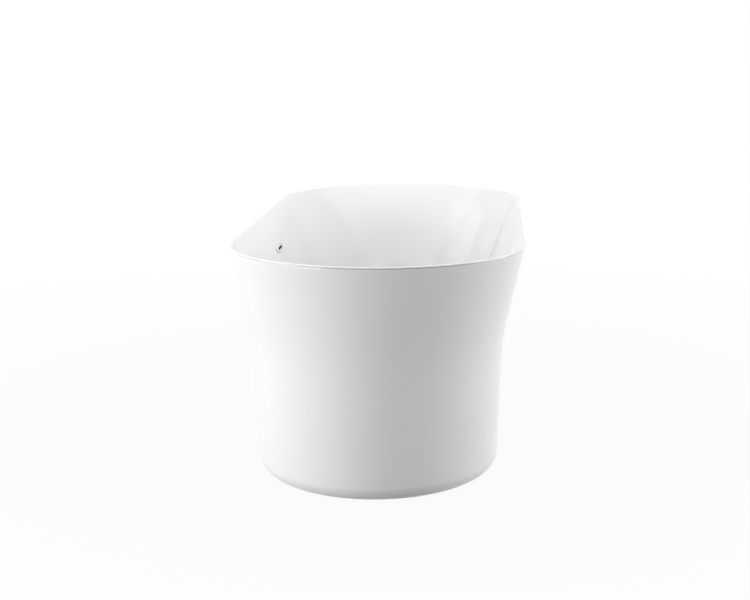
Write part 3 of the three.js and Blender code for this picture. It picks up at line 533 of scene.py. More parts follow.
def make_basin():
    lip = [loop(LIP_HEIGHT, trim=LIP_ROUND)]
    lip += [loop(LIP_HEIGHT + LIP_ROUND * (1 - math.cos(a)), trim=LIP_ROUND * (1 - math.sin(a)))
            for a in spread(0, math.pi / 2, 5)[1:]]
    outer = [loop(BATH_HEIGHT - RIM_ROLL + RIM_ROLL * math.sin(a), trim=RIM_ROLL * (1 - math.cos(a)))
             for a in spread(0, math.pi / 2, 14)]
    inner = [loop(BATH_HEIGHT - RIM_ROLL + RIM_ROLL * math.cos(a),
                  trim=RIM_WIDTH - RIM_ROLL + RIM_ROLL * math.sin(a))
             for a in spread(0, ROLL_END, 12)[:-1]]
    heights = [WALL_TOP - ROW * i for i in range(RIM_ROWS)]
    heights += spread(WALL_TOP - RIM_ROWS_END, OVERFLOW_Z + ROWS_ABOVE, 5)
    heights += [OVERFLOW_Z + OVERFLOW_REACH - ROW * i for i in range(OVERFLOW_ROWS)]
    heights += spread(OVERFLOW_Z - ROWS_BELOW, FILLET_TOP, 26)
    wall = [wall_loop(slope_at(h)) for h in heights]
    fillet = [fillet_loop(s) for s in spread(LOW_SLOPE, math.pi / 2, 18)[1:]]
    drain = drain_loops(fillet[-1])
    under = loop(UNDERSIDE, trim=HALF_WIDTH - FLOOR_HALF, lean=LEAN)
    back = [fillet_loop(s, SKIN) for s in spread(math.pi / 2, LOW_SLOPE, 8)[1:]]
    top = math.asin((LIP_HEIGHT - WALL_TOP + WALL_BEND * math.sin(TOP_SLOPE)) / (WALL_BEND - SKIN))
    back += [wall_loop(s, SKIN) for s in spread(LOW_SLOPE, top, 16)[1:]]
    loops = lip + outer + inner + wall + fillet + drain + [under] + back
    basin = sealed(*loft(loops), "basin")
    slot = loft([stadium(HOLE_LENGTH, HOLE_HEIGHT, z) for z in (HOLE_BACK, HOLE_FRONT)], ring=False)
    tools = [sealed(*placed(slot, OVERFLOW), "slot_tool")]
    sink = [(SCREW_HOLE, HOLE_BACK), (SCREW_HOLE, SINK_FLOOR),
            (SINK_RADIUS, SINK_FLOOR), (SINK_RADIUS, HOLE_FRONT)]
    for x in (-SCREW_REACH, SCREW_REACH):
        screw = loft([circle(radius, z, 24) for radius, z in sink], ring=False)
        tools.append(sealed(*placed(screw, OVERFLOW @ Matrix.Translation((x, 0, 0))), "screw_tool"))
    combined(basin, tools)
    piece(basin, "acrylic", "tub", ["basin_shell"], crease=38)


def stadium(length, height, z, count=24):
    """A round-ended outline in the overflow's frame."""
    radius, reach = height / 2, (length - height) / 2
    points = []
    for side in (1, -1):
        for i in range(count + 1):
            a = math.pi * i / count - math.pi / 2
            points.append((side * (reach + radius * math.cos(a)), side * radius * math.sin(a), z))
    return points


FLARE = math.radians(13)
BASE = math.radians(2)
SEAM = 1
SKIRT_TOP = LIP_HEIGHT - SEAM
FLARE_DEPTH = 190
FLARE_END = BATH_HEIGHT - FLARE_DEPTH
FLARE_BEND = 580
BASE_FILLET = 38
SKIRT_LOW = 4
SKIRT_SKIN = 3.5
SKIRT_RETURN = 12
SETBACK = 1
BRIM_ROUND = 1.2
BEAD_SETBACK = 1.6
BEAD_WIDTH = 2.6
BEAD_BULGE = 0.5
FLARE_TAPER = (SKIRT_TOP - FLARE_END) * math.tan(FLARE)
BEND_END = FLARE_END - FLARE_BEND * (math.sin(FLARE) - math.sin(BASE))
BEND_TAPER = FLARE_TAPER + FLARE_BEND * (math.cos(BASE) - math.cos(FLARE))
BASE_END = SKIRT_LOW + BASE_FILLET * (1 - math.sin(BASE))
BASE_TAPER = BEND_TAPER + (BEND_END - BASE_END) * math.tan(BASE)


def skirt_face(skin, counts):
    """The skirt's outer face, or its inner one where a skin is given, from the top down."""
    flare, bend, base, fillet = counts
    loops = []
    top = SKIRT_TOP if skin else SKIRT_TOP - BRIM_ROUND
    for z in spread(top, FLARE_END, flare)[:-1]:
        loops.append(loop(z, taper=(SKIRT_TOP - z) * math.tan(FLARE),
                          trim=SETBACK + skin / math.cos(FLARE)))
    for s in spread(FLARE, BASE, bend):
        loops.append(loop(FLARE_END - FLARE_BEND * (math.sin(FLARE) - math.sin(s)) + skin * math.sin(s),
                          taper=FLARE_TAPER + FLARE_BEND * (math.cos(s) - math.cos(FLARE)),
                          trim=SETBACK + skin * math.cos(s)))
    for z in spread(BEND_END, BASE_END, base)[1:-1]:
        loops.append(loop(z, taper=BEND_TAPER + (BEND_END - z) * math.tan(BASE),
                          trim=SETBACK + skin / math.cos(BASE)))
    for s in spread(BASE, math.pi / 2, fillet):
        tuck = BASE_FILLET * (math.cos(BASE) - math.cos(s))
        loops.append(loop(BASE_END - BASE_FILLET * (math.sin(s) - math.sin(BASE)) + skin * math.sin(s),
                          taper=BASE_TAPER, trim=SETBACK + tuck + skin * math.cos(s)))
    edge = SETBACK + BASE_FILLET * math.cos(BASE) + SKIRT_RETURN
    loops.append(loop(SKIRT_LOW + skin, taper=BASE_TAPER, trim=edge))
    return loops


def make_skirt():
    outer = skirt_face(0, (12, 24, 14, 16))
    brim = [loop(SKIRT_TOP - 0.35, taper=0.1, trim=SETBACK + 0.25),
            loop(SKIRT_TOP, trim=SETBACK + BRIM_ROUND)]
    inner = skirt_face(SKIRT_SKIN, (5, 8, 4, 6))
    skirt = sealed(*loft(brim[::-1] + outer + inner[::-1]), "skirt")
    piece(skirt, "acrylic", "tub", ["outer_skirt"], crease=38)
    low, high = SKIRT_TOP + GAP, LIP_HEIGHT - GAP
    near, far = BEAD_SETBACK, BEAD_SETBACK + BEAD_WIDTH
    bead = [(near, low), (far, low), (far, high), (near, high)]
    bead += [(near + BEAD_BULGE * math.sin(math.pi * t), high + (low - high) * t)
             for t in spread(0, 1, 6)[1:-1]]
    bead = [loop(z, trim=inset) for inset, z in bead]
    piece(sealed(*loft(bead), "seam_bead"), "sealant", "tub", ["rim_bead"], crease=60)


# Screwed things

ROWS_A_TURN = 6
CHAMFER_SHARE = 0.97
CHAMFER_SLOPE = math.radians(30)
BORE_CHAMFER = 0.5


def threaded(radius, depth, pitch, low, high, count=28):
    """A right-hand threaded shank along Z with chamfered ends."""
    steps = max(2, round((high - low) / (pitch / ROWS_A_TURN)))
    loops = []
    for z in spread(low, high, steps):
        limit = radius - depth + min(depth, z - low, high - z)
        row = []
        for i, angle in enumerate(turns(count)):
            phase = (z / pitch - i / count) % 1
            cut = depth * (1 - abs(2 * phase - 1))
            r = min(radius - cut, max(limit, radius - depth))
            row.append((r * math.cos(angle), r * math.sin(angle), z))
        loops.append(row)
    return loft(loops, ring=False)


def hexagonal(width, low, high, bore=0.0, count=96):
    """A hexagon head or nut with the round chamfer of a turned bar, and a bore if it is a nut."""
    flat = width / 2
    top = CHAMFER_SHARE * flat
    angles = turns(count)
    reach = [flat / math.cos((a % (math.pi / 3)) - math.pi / 6) for a in angles]
    fall = [(r - top) * math.tan(CHAMFER_SLOPE) for r in reach]

    def edge(z, sign):
        return [(r * math.cos(a), r * math.sin(a), z + sign * f) for a, r, f in zip(angles, reach, fall)]

    loops = [ring(top, low, angles), edge(low, 1), edge(high, -1), ring(top, high, angles)]
    if not bore:
        return loft(loops, ring=False)
    hole = [(bore + BORE_CHAMFER, high), (bore, high - BORE_CHAMFER),
            (bore, low + BORE_CHAMFER), (bore + BORE_CHAMFER, low)]
    return loft(loops + [ring(radius, z, angles) for radius, z in hole])


# Feet
RAIL_OFFSET = 8
RAIL_X = FLOOR_HALF + RAIL_OFFSET
FOOT_Y = 470
SOLE_RADIUS = 27
SOLE_TOP = 4
TREAD_DEPTH = 0.6
TREAD_WIDTH = 2
TREADS = (9, 13, 17, 21)
TREAD_CENTRE = 8
TREAD_EDGE = 24.4
PAD_RADIUS = 25
PAD_BOTTOM = SOLE_TOP + GAP
PAD_TOP = 9.3
HUB_RADIUS = 12
HUB_TOP = 23.3
SOCKET_RADIUS = 5.4
SOCKET_FLOOR = 8.3
STUD_RADIUS = 5
STUD_TIP = 4.4
STUD_BOTTOM = SOCKET_FLOOR + GAP
STUD_TOP = 92.1
STUD_PITCH = 1.5
STUD_THREAD = 0.6
OVERLAP = 0.5
HEX_WIDTH = 17
COLLAR_BOTTOM = 30.5
COLLAR_TOP = 38.5
LOCK_BOTTOM = COLLAR_TOP + GAP
LOCK_TOP = 46.8
BUSH_RADIUS = 7.9
BUSH_BOTTOM = LOCK_TOP + GAP
BUSH_TOP = 61.1

# Bracket bolts
BOLT_Y = 360
BOLT_Z = 62.1
RAIL_WIDTH = 30
BRACKET_THICKNESS = 3
BOLT_RADIUS = 3
BOLT_LENGTH = 14
BOLT_OVERLAP = 0.2
BOLT_PITCH = 1
BOLT_THREAD = 0.35
BOLT_HEAD_WIDTH = 10
BOLT_HEAD_HEIGHT = 4


def hexed(shape):
    """A hexagon turned so that its corners lie on X, as in the CAD."""
    return placed(shape, Matrix.Rotation(math.pi / 6, 4, "Z"))


def make_feet():
    tread = [(0, TREAD_DEPTH), (TREAD_CENTRE, TREAD_DEPTH)]
    for r in TREADS:
        tread += [(r, TREAD_DEPTH), (r, 0), (r + TREAD_WIDTH, 0), (r + TREAD_WIDTH, TREAD_DEPTH)]
    tread += [(TREAD_EDGE, TREAD_DEPTH), (TREAD_EDGE, 0), (SOLE_RADIUS, 0)]
    sole = turned(tread + [(SOLE_RADIUS, SOLE_TOP), (0, SOLE_TOP)], 0.25)
    pad = turned([
        (0, PAD_BOTTOM), (PAD_RADIUS, PAD_BOTTOM), (PAD_RADIUS, PAD_TOP), (21, 9.9), (12.6, 12.6),
        (HUB_RADIUS, 14), (HUB_RADIUS, HUB_TOP), (SOCKET_RADIUS, HUB_TOP),
        (SOCKET_RADIUS, SOCKET_FLOOR), (0, SOCKET_FLOOR)], 0.8)
    lower = turned([
        (0, STUD_BOTTOM), (STUD_TIP, STUD_BOTTOM), (STUD_RADIUS, 10),
        (STUD_RADIUS, COLLAR_BOTTOM + OVERLAP), (0, COLLAR_BOTTOM + OVERLAP)], 0.3, FINE)
    collar = hexed(hexagonal(HEX_WIDTH, COLLAR_BOTTOM, COLLAR_TOP))
    upper = threaded(STUD_RADIUS, STUD_THREAD, STUD_PITCH, COLLAR_TOP - OVERLAP, STUD_TOP)
    stud = merged(lower, collar, upper)
    lock_nut = hexed(hexagonal(HEX_WIDTH, LOCK_BOTTOM, LOCK_TOP, SOCKET_RADIUS))
    bush = turned([
        (SOCKET_RADIUS, BUSH_BOTTOM), (BUSH_RADIUS, BUSH_BOTTOM),
        (BUSH_RADIUS, BUSH_TOP), (SOCKET_RADIUS, BUSH_TOP)], 0.4, 64)
    for end, y in (("front", -FOOT_Y), ("rear", FOOT_Y)):
        for side, x in (("left", -RAIL_X), ("right", RAIL_X)):
            place = Matrix.Translation((x, y, 0))
            for part, shape, look, body, crease in (
                    ("sole", sole, "black_rubber", f"pad_{end}_{side}", 32),
                    ("pad", pad, "grey_plastic", f"pad_{end}_{side}", 32),
                    ("stud", stud, "zinc", f"stud_{end}_{side}", 40),
                    ("lock_nut", lock_nut, "zinc", "tub", 32),
                    ("bush", bush, "zinc", "tub", 32)):
                name = f"foot_{end}_{side}_{part}"
                piece(sealed(*placed(shape, place), f"{name}_piece"), look, body, [name], crease)


def make_bolts():
    seat = RAIL_X + RAIL_WIDTH / 2 + BRACKET_THICKNESS + 2 * GAP
    shank = threaded(BOLT_RADIUS, BOLT_THREAD, BOLT_PITCH, seat - BOLT_LENGTH, seat + BOLT_OVERLAP, 24)
    bolt = merged(shank, hexed(hexagonal(BOLT_HEAD_WIDTH, seat, seat + BOLT_HEAD_HEIGHT)))
    for end, y in (("front", -BOLT_Y), ("rear", BOLT_Y)):
        for side, heading in (("left", math.pi), ("right", 0)):
            name = f"bracket_bolt_{end}_{side}"
            turn = Matrix.Rotation(heading, 4, "Z")
            place = Matrix.Translation((0, y, BOLT_Z)) @ turn @ Matrix.Rotation(math.pi / 2, 4, "Y")
            piece(sealed(*placed(bolt, place), f"{name}_piece"), "zinc", "tub", [name], 40)


# Waste, its flange with a web of a hub and spokes
FLANGE_RADIUS = 36
FLANGE_BOTTOM = 148.6
FLANGE_TOP = 150.6
FLANGE_END = 112.6
THREAD_RADIUS = 23.5
WASTE_BORE = 20
WEB_BOTTOM = 137.6
WEB_TOP = 143.6
WEB_HUB_RADIUS = 9.5
SPOKE_LENGTH = 21.6
SPOKE_HALF = 1.75
SPOKES = 3
CARTRIDGE_HOLE = 5.8
GASKETS = (("waste_gasket_upper", 147.3, 148.3), ("waste_gasket_lower", 139.7, 142.7))

# Waste body, with a port for the hose, and the nut under it
BODY_RADIUS = 28
BODY_FLANGE_RADIUS = 37
BODY_BOTTOM = 36.4
BODY_NECK = 135.4
BODY_TOP = 139.4
BODY_MOUTH = 23.8
MOUTH_FLOOR = 111.6
TAIL_RADIUS = 20
TAIL_BORE = 17.8
TAIL_TOP = 62.4
TAPER_TOP = 73.4
PORT_HEIGHT = 105.4
PORT_BORE = 6.3
PORT_BARBS = (36, 41, 46)
BARB_RADIUS = 8
BARB_ROOT = 7.4
BARB_SLOPE = 3.5
BARB_BACK = 0.4
NUT_RADIUS = 27
NUT_BOTTOM = 28.8
NUT_TOP = 48.8
NUT_FLOOR = 32.8
NUT_BORE = 20.3
NUT_STEPS = 144
LOBES = 12
LOBE_DEPTH = 1.2
MOUTH_RADIUS = 16
WASHER_RADIUS = 19.7
WASHER_BOTTOM = NUT_FLOOR + GAP
WASHER_TOP = 36.1


def make_waste():
    flange = sealed(*turned([
        (WASTE_BORE, FLANGE_END), (THREAD_RADIUS, FLANGE_END), (THREAD_RADIUS, FLANGE_BOTTOM),
        (FLANGE_RADIUS, FLANGE_BOTTOM), (FLANGE_RADIUS, 149.9), (34.6, FLANGE_TOP),
        (29, FLANGE_TOP), (22, 149.4), (WASTE_BORE, 146.9)], 0.5), "waste_flange_piece")
    spoke = cuboid((0, -SPOKE_HALF, WEB_BOTTOM), (SPOKE_LENGTH, SPOKE_HALF, WEB_TOP), 0.5)
    web = [sealed(*placed(spoke, Matrix.Rotation(a, 4, "Z")), "spoke") for a in turns(SPOKES)]
    hub = [(0, WEB_BOTTOM), (WEB_HUB_RADIUS, WEB_BOTTOM), (WEB_HUB_RADIUS, WEB_TOP), (0, WEB_TOP)]
    web.append(sealed(*turned(hub, 0.5), "hub"))
    combined(flange, web, "UNION")
    combined(flange, [sealed(*loft([circle(CARTRIDGE_HOLE, z) for z in (130, 150)], ring=False), "bore")])
    piece(flange, "chrome", "tub", ["waste_flange"])
    for name, low, high in GASKETS:
        gasket = turned([(DRAIN_RADIUS, low), (FLANGE_RADIUS, low),
                         (FLANGE_RADIUS, high), (DRAIN_RADIUS, high)], 0.35)
        piece(sealed(*gasket, f"{name}_piece"), "black_rubber", "tub", [name])
    body = sealed(*turned([
        (TAIL_BORE, BODY_BOTTOM), (TAIL_RADIUS, BODY_BOTTOM), (TAIL_RADIUS, TAIL_TOP),
        (BODY_RADIUS, TAPER_TOP), (BODY_RADIUS, 96), (29.2, 97), (29.2, 100), (BODY_RADIUS, 101),
        (BODY_RADIUS, BODY_NECK), (BODY_FLANGE_RADIUS, BODY_NECK), (BODY_FLANGE_RADIUS, BODY_TOP),
        (BODY_MOUTH, BODY_TOP), (BODY_MOUTH, MOUTH_FLOOR), (TAIL_RADIUS, MOUTH_FLOOR),
        (TAIL_RADIUS, TAPER_TOP), (TAIL_BORE, TAIL_TOP + 1)], 0.8), "waste_body_piece")
    side = Matrix.Translation((0, 0, PORT_HEIGHT)) @ Matrix.Rotation(-math.pi / 2, 4, "Y")
    port = [(0, 21), (9.2, 21), (9.2, 30), (BARB_RADIUS, 31)]
    for z in PORT_BARBS:
        port += [(BARB_ROOT, z - BARB_SLOPE), (BARB_RADIUS, z), (BARB_ROOT, z + BARB_BACK)]
    port += [(BARB_ROOT, 51), (6.9, 52), (0, 52)]
    combined(body, [sealed(*placed(turned(port, 0.1, FINE), side), "port")], "UNION")
    bore = loft([circle(PORT_BORE, z, FINE) for z in (17, 60)], ring=False)
    combined(body, [sealed(*placed(bore, side), "bore")])
    piece(body, "white_plastic", "tub", ["waste_body"])


def make_outlet():
    angles = turns(NUT_STEPS)

    def grip(inset, z):
        made = []
        for a in angles:
            dip = LOBE_DEPTH * (0.5 - 0.5 * math.cos(LOBES * a)) ** 2
            made += ring(NUT_RADIUS - inset - dip, z, [a])
        return made

    outside = [grip(1, NUT_BOTTOM), grip(0, NUT_BOTTOM + 1), grip(0, NUT_TOP - 1.2), grip(1.2, NUT_TOP)]
    inside = [(21, NUT_TOP), (NUT_BORE, 48.1), (NUT_BORE, NUT_FLOOR), (MOUTH_RADIUS, NUT_FLOOR),
              (MOUTH_RADIUS, NUT_BOTTOM + 0.4), (MOUTH_RADIUS + 0.4, NUT_BOTTOM)]
    nut = loft(outside + [ring(radius, z, angles) for radius, z in inside])
    piece(sealed(*nut, "outlet_nut_piece"), "grey_plastic", "tub", ["outlet_nut"])
    washer = turned([(MOUTH_RADIUS, WASHER_BOTTOM), (WASHER_RADIUS, WASHER_BOTTOM),
                     (WASHER_RADIUS, WASHER_TOP), (MOUTH_RADIUS, WASHER_TOP)], 0.5)
    piece(sealed(*washer, "outlet_washer_piece"), "black_rubber", "tub", ["outlet_washer"])


# Plug
CAP_RADIUS = 32
CAP_BOTTOM = 151.2
CAP_RIM_TOP = 153.7
CAP_DOME = 4
SPRING_RADIUS = 3
SPRING_WIRE = 0.45
SPRING_FOOT = 112.85
SPRING_HEIGHT = 13.3
SPRING_TURNS = 5
# Profiles of radius and height
SEAL = [(16, 147.7), (18.5, 147.7), (23.4, 150.1), (24, 150.9), (16, 150.9)]
STEM = [(0, 126.9), (3, 126.9), (3.5, 127.4), (3.5, 144.9), (2.9, 145.3), (2.9, 146.3), (3.5, 146.9),
        (7, 146.9), (7, 150.9), (0, 150.9)]
CARTRIDGE = [(0, 109.6), (5.5, 109.6), (5.5, 116), (5.1, 116.4), (5.1, 118), (5.5, 118.4),
             (5.5, 145.6), (4, 145.6), (4, 112.1), (0, 112.1)]


def make_plug():
    cap = [(0, CAP_BOTTOM), (30.4, CAP_BOTTOM), (31.7, 151.7), (CAP_RADIUS, 152.5), (31.9, 153.3)]
    cap += [(CAP_RADIUS * math.cos(a), CAP_RIM_TOP + CAP_DOME * math.sin(a))
            for a in spread(0.12, math.pi / 2 - 0.02, 22)]
    cap.append((0, CAP_RIM_TOP + CAP_DOME))
    piece(sealed(*turned(cap, 0.2, 128), "plug_cap_piece"), "chrome", "plug", ["plug_cap"])
    piece(sealed(*turned(SEAL, 0.5), "plug_seal_piece"), "black_rubber", "plug", ["plug_seal"])
    piece(sealed(*turned(STEM, 0.25, FINE), "plug_stem_piece"), "brass", "plug", ["plug_stem"])
    cartridge = sealed(*turned(CARTRIDGE, 0.35, 64), "plug_cartridge_piece")
    piece(cartridge, "white_plastic", "tub", ["plug_cartridge"])
    path = []
    for t in spread(0, 1, 200):
        path += ring(SPRING_RADIUS, SPRING_FOOT + SPRING_HEIGHT * t, [2 * math.pi * SPRING_TURNS * t])
    spring = sealed(*swept(path, lambda run: SPRING_WIRE, 12), "plug_spring_piece")
    piece(spring, "zinc", "tub", ["plug_spring"])


def swept(path, radius, sides, bore=None):
    """A tube along a path, its radius a function of the length run. With a bore it is hollow."""
    points = [Vector(p) for p in path]
    run, lengths = 0.0, []
    for i, p in enumerate(points):
        run += (p - points[i - 1]).length if i else 0
        lengths.append(run)
    up = Vector((0, 1, 0)) if abs((points[1] - points[0]).normalized().y) < 0.9 else Vector((0, 0, 1))
    outer, inner = [], []
    for i, p in enumerate(points):
        ahead = (points[min(i + 1, len(points) - 1)] - points[max(i - 1, 0)]).normalized()
        across = up.cross(ahead).normalized()
        up = ahead.cross(across).normalized()
        spokes = [across * math.cos(a) + up * math.sin(a) for a in turns(sides)]
        outer.append([tuple(p + spoke * radius(lengths[i])) for spoke in spokes])
        if bore:
            inner.append([tuple(p + spoke * bore) for spoke in spokes])
    if bore:
        return loft(outer + inner[::-1])
    return loft(outer, ring=False)


# Overflow, in its own frame
TRIM_LENGTH = 100
TRIM_HEIGHT = 21
TRIM_BACK = -7
TRIM_SHOULDER = 2.6
TRIM_ROUND = 2.8
TRIM_CROWN = 1.4
SLOT_LENGTH = 72
SLOT_HEIGHT = 6
SLOT_ROUND = 2
SLOT_MOUTH = 3
# Length, height and place of the trim's outlines, from its back up to the shoulder
TRIM_OUTLINES = (
    (77, 13, TRIM_BACK), (77, 13, 0.5), (97, 18, 0.5), (99.2, 20.2, 0.7),
    (TRIM_LENGTH, TRIM_HEIGHT, 1.5), (TRIM_LENGTH, TRIM_HEIGHT, TRIM_SHOULDER))
SCREW_HEAD = [(0, -2.7), (3.8, -2.7), (3.6, -1.4), (2.4, -0.6), (0, -0.5)]
SCREW_RADIUS = 2
SCREW_THREAD = 0.4
SCREW_PITCH = 1.4
SCREW_TIP = -15.5
SCREW_NECK = -2.6
CROSS_REACH = 2
CROSS_HALF = 0.4
CROSS_FLOOR = -1.8
CROSS_TOP = 1

# Hose and clamps
SPIGOT_BACK = -19
HOSE_TOP = -18.5
HOSE_CORNER = -53
HOSE_END = -29.5
HOSE_BEND = 90
HOSE_STEP = 0.7
HOSE_BORE = 8.5
KNEE_REACH = 76
CUFF_LENGTH = 24
CUFF_RADIUS = 10.9
RIB_MIDDLE = 10.2
RIB_DEPTH = 0.75
RIB_PITCH = 4.2
CLAMP_INSET = 9
BAND = [(11.3, -4.5), (12.1, -4.5), (12.1, 4.5), (11.3, 4.5)]
HOUSING = ((-3, 12, -4.2), (3, 17.6, 4.2))
WORM_WIDTH = 4.6
WORM_FOOT = 2.8
WORM_TOP = 5.4
WORM_REACH = 15


def make_overflow():
    loops = [stadium(*outline) for outline in TRIM_OUTLINES]
    for a in spread(0, math.pi / 2, 8)[1:]:
        less = TRIM_ROUND * (1 - math.cos(a))
        height = TRIM_SHOULDER + TRIM_CROWN * math.sin(a)
        loops.append(stadium(TRIM_LENGTH - less, TRIM_HEIGHT - less, height))
    for a in spread(0, math.pi / 2, 6):
        more = SLOT_ROUND * (1 - math.sin(a))
        loops.append(stadium(SLOT_LENGTH + more, SLOT_HEIGHT + more, SLOT_MOUTH + math.cos(a)))
    loops.append(stadium(SLOT_LENGTH, SLOT_HEIGHT, TRIM_BACK))
    trim = sealed(*placed(loft(loops), OVERFLOW), "overflow_trim_piece")
    piece(trim, "chrome", "tub", ["overflow_trim"])
    for number, x in ((1, -SCREW_REACH), (2, SCREW_REACH)):
        screw = sealed(*turned(SCREW_HEAD, 0.3, FINE), f"overflow_screw_{number}_piece")
        cross = [sealed(*cuboid((-a, -b, CROSS_FLOOR), (a, b, CROSS_TOP)), "cross")
                 for a, b in ((CROSS_REACH, CROSS_HALF), (CROSS_HALF, CROSS_REACH))]
        combined(screw, cross)
        shank = threaded(SCREW_RADIUS, SCREW_THREAD, SCREW_PITCH, SCREW_TIP, SCREW_NECK, 20)
        combined(screw, [sealed(*shank, "shank")], "UNION")
        to_metres, to_millimetres = Matrix.Scale(MM, 4), Matrix.Scale(1 / MM, 4)
        screw.data.transform(to_metres @ OVERFLOW @ Matrix.Translation((x, 0, 0)) @ to_millimetres)
        piece(screw, "zinc", "tub", [f"overflow_screw_{number}"], 40)


def make_hose():
    path = hose_path()
    length = sum(math.dist(a, b) for a, b in zip(path, path[1:]))

    def ribbed(run):
        if run < CUFF_LENGTH or run > length - CUFF_LENGTH:
            return CUFF_RADIUS
        return RIB_MIDDLE + RIB_DEPTH * math.cos(2 * math.pi * (run - CUFF_LENGTH) / RIB_PITCH)

    hose = sealed(*swept(path, ribbed, 28, HOSE_BORE), "overflow_hose_piece")
    piece(hose, "white_plastic", "tub", ["overflow_hose"], 60)
    worm = placed(hexagonal(WORM_WIDTH, WORM_FOOT, WORM_TOP),
                  Matrix.Translation((0, WORM_REACH, 0)) @ Matrix.Rotation(math.pi / 2, 4, "Y"))
    clamp = merged(turned(BAND, 0.2, 72), cuboid(*HOUSING, 0.8), worm)
    upper = (OVERFLOW @ Matrix.Translation((0, HOSE_TOP - CLAMP_INSET, SPIGOT_BACK))
             @ Matrix.Rotation(-math.pi / 2, 4, "X") @ Matrix.Rotation(math.pi / 2, 4, "Z"))
    lower = (Matrix.Translation((HOSE_END - CLAMP_INSET, 0, PORT_HEIGHT))
             @ Matrix.Rotation(math.pi / 2, 4, "Y"))
    for name, place in (("hose_clamp_upper", upper), ("hose_clamp_lower", lower)):
        piece(sealed(*placed(clamp, place), f"{name}_piece"), "zinc", "tub", [name])


def straight(start, end):
    """Points of a straight stretch of hose, without its first."""
    steps = max(1, int((end - start).length / HOSE_STEP))
    return [start.lerp(end, i / steps) for i in range(1, steps + 1)]


def hose_path():
    """The hose's centre line, from the overflow's spigot to the waste body's port."""
    top, first = (OVERFLOW @ Vector((0, y, SPIGOT_BACK)) for y in (HOSE_TOP, HOSE_CORNER))
    knee, end = (Vector((x, 0, PORT_HEIGHT)) for x in (-FLOOR_HALF - KNEE_REACH, HOSE_END))
    points = [top]
    corners = [top, first, knee, end]
    for before, corner, after in zip(corners, corners[1:], corners[2:]):
        into, out = (corner - before).normalized(), (after - corner).normalized()
        angle = into.angle(out)
        start = corner - into * (HOSE_BEND * math.tan(angle / 2))
        points += straight(points[-1], start)
        side = (out - into * out.dot(into)).normalized()
        centre = start + side * HOSE_BEND
        steps = max(2, int(HOSE_BEND * angle / HOSE_STEP))
        points += [centre - side * HOSE_BEND * math.cos(t) + into * HOSE_BEND * math.sin(t)
                   for t in spread(0, angle, steps)[1:]]
    return points + straight(points[-1], end)


# CAD nodes that keep their shape
WELD_REACH = 1e-6
SOFT_FROM = math.radians(35)


def dressed(nodes, look, bevel):
    """Gives CAD nodes a look and softens their edges by a bevel in millimetres."""
    for name in nodes:
        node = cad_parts[name]
        node.data.materials.clear()
        node.data.materials.append(LOOKS[look])
        weld = node.modifiers.new("weld", "WELD")
        weld.merge_threshold = WELD_REACH
        soften = node.modifiers.new("soften", "BEVEL")
        soften.width, soften.segments, soften.angle_limit = bevel * MM, 3, SOFT_FROM
        soften.harden_normals = True
        node.data.polygons.foreach_set("use_smooth", [True] * len(node.data.polygons))


make_basin()
make_skirt()
make_feet()
make_bolts()
make_waste()
make_outlet()
make_plug()
make_overflow()
make_hose()
dressed(["base_board_front", "base_board_rear"], "board", 0.8)
dressed(["bearer_front", "bearer_middle_front", "bearer_middle_rear", "bearer_rear",
         "rail_left", "rail_right"], "frame_paint", 0.7)
dressed([f"skirt_bracket_{end}_{side}" for end in ("front", "rear") for side in ("left", "right")],
        "zinc", 0.5)
dressed(["overflow_body"], "white_plastic", 0.6)
dressed(["overflow_gasket"], "black_rubber", 0.3)


# Floor, light and camera, in metres
FLOOR_REACH = 14
FLOOR_DROP = 0.0003
FLOOR_GREY = 0.35
# The share of plain white in the floor that the camera sees, close to the tub and far from it
WHITE_NEAR = 0.95
WHITE_FAR = 1.0
WHITE_FROM = 1.0
WHITE_TO = 3.0
AMBIENT = 0.28

# The camera that was fitted to the photo, its angles in degrees
CAMERA_PLACE = (0.2815, -4.083, 1.1341)
CAMERA_DOWN = 10.987
CAMERA_TURN = 2.77
CAMERA_SHIFT = -0.06
SENSOR = 36
FOCAL_PIXELS = 1439.2
PHOTO_WIDTH = 750


def make_floor():
    mesh = bpy.data.meshes.new("floor")
    mesh.from_pydata([(x * FLOOR_REACH, y * FLOOR_REACH, -FLOOR_DROP)
                      for x, y in ((-1, -1), (1, -1), (1, 1), (-1, 1))], [], [(0, 1, 2, 3)])
    floor = bpy.data.objects.new("floor", mesh)
    bpy.context.scene.collection.objects.link(floor)
    look = Look("pale_floor", 0.95, ior=1.2)
    look.shader.inputs["Base Color"].default_value = (FLOOR_GREY, FLOOR_GREY, FLOOR_GREY, 1)
    away = look.node("ShaderNodeVectorMath", {0: look.where}, operation="LENGTH").outputs["Value"]
    share = look.remap(away, WHITE_FROM, WHITE_TO, WHITE_NEAR, WHITE_FAR)
    path = look.node("ShaderNodeLightPath").outputs
    seen = look.worked("MAXIMUM", path["Is Camera Ray"], path["Is Glossy Ray"])
    mix = look.node("ShaderNodeMixShader", {
        0: look.worked("MULTIPLY", seen, share), 1: look.shader.outputs[0],
        2: look.node("ShaderNodeEmission").outputs[0]}).outputs[0]
    look.tree.links.new(mix, look.tree.nodes["Material Output"].inputs["Surface"])
    mesh.materials.append(look.material)


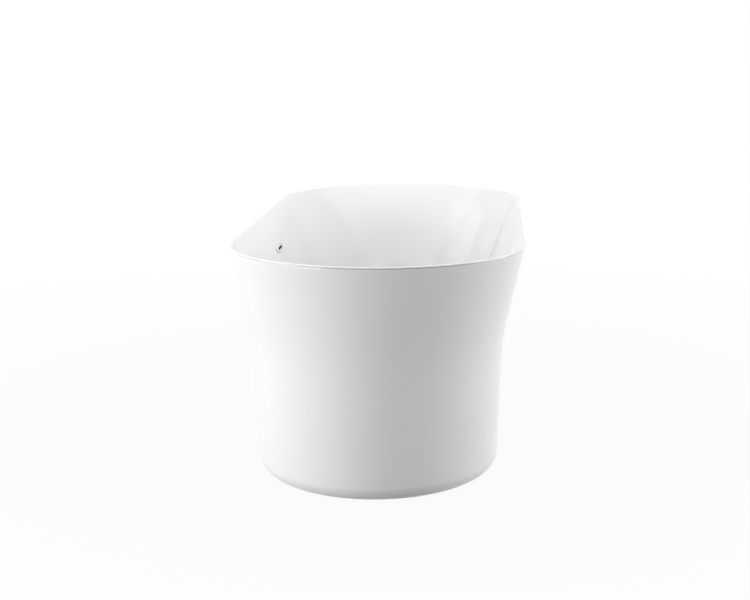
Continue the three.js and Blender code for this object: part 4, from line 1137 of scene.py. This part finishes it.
def make_world():
    world = bpy.data.worlds.new("studio")
    bpy.context.scene.world = world
    world.use_nodes = True
    tree = world.node_tree
    back = tree.nodes["Background"]
    path = tree.nodes.new("ShaderNodeLightPath").outputs
    seen = path["Is Camera Ray"]
    for name in ("Is Glossy Ray", "Is Transmission Ray"):
        either = tree.nodes.new("ShaderNodeMath")
        either.operation = "MAXIMUM"
        tree.links.new(seen, either.inputs[0])
        tree.links.new(path[name], either.inputs[1])
        seen = either.outputs[0]
    level = tree.nodes.new("ShaderNodeMapRange")
    level.inputs["To Min"].default_value = AMBIENT
    level.inputs["To Max"].default_value = 1.0
    tree.links.new(seen, level.inputs["Value"])
    tree.links.new(level.outputs[0], back.inputs["Strength"])
    back.inputs["Color"].default_value = (1, 1, 1, 1)


def make_lamp(name, place, aim, size, power, turn=0.0):
    lamp = bpy.data.lights.new(name, "AREA")
    lamp.shape, lamp.size, lamp.size_y, lamp.energy = "RECTANGLE", size[0], size[1], power
    obj = bpy.data.objects.new(name, lamp)
    obj.location = place
    facing = (Vector(aim) - Vector(place)).to_track_quat("-Z", "Y").to_matrix()
    obj.rotation_euler = (facing @ Matrix.Rotation(turn, 3, "Z")).to_euler()
    bpy.context.scene.collection.objects.link(obj)


def make_camera():
    camera = bpy.data.cameras.new("camera")
    obj = bpy.data.objects.new("camera", camera)
    bpy.context.scene.collection.objects.link(obj)
    obj.location = CAMERA_PLACE
    obj.rotation_euler = (math.radians(90 - CAMERA_DOWN), 0, math.radians(CAMERA_TURN))
    camera.sensor_width, camera.lens = SENSOR, SENSOR * FOCAL_PIXELS / PHOTO_WIDTH
    camera.shift_x = CAMERA_SHIFT
    bpy.context.scene.camera = obj


make_floor()
make_world()
make_lamp("left_light", (-2.9, -1.8, 0.9), (0, 0, 0.35), (3.4, 1.6), 74)
make_lamp("right_light", (3.4, 0, 1.05), (0, 0, 0.35), (2.4, 1.7), 64)
make_lamp("top_light", (0, 0, 4.2), (0, 0, 0.3), (7.0, 6.0), 122)
make_lamp("rear_light", (-2.9, 0.74, 2.3), (0, 0.3, 0.4), (2.06, 2.2), 15, math.radians(40))
make_camera()
bpy.context.scene.view_settings.view_transform = "Standard"
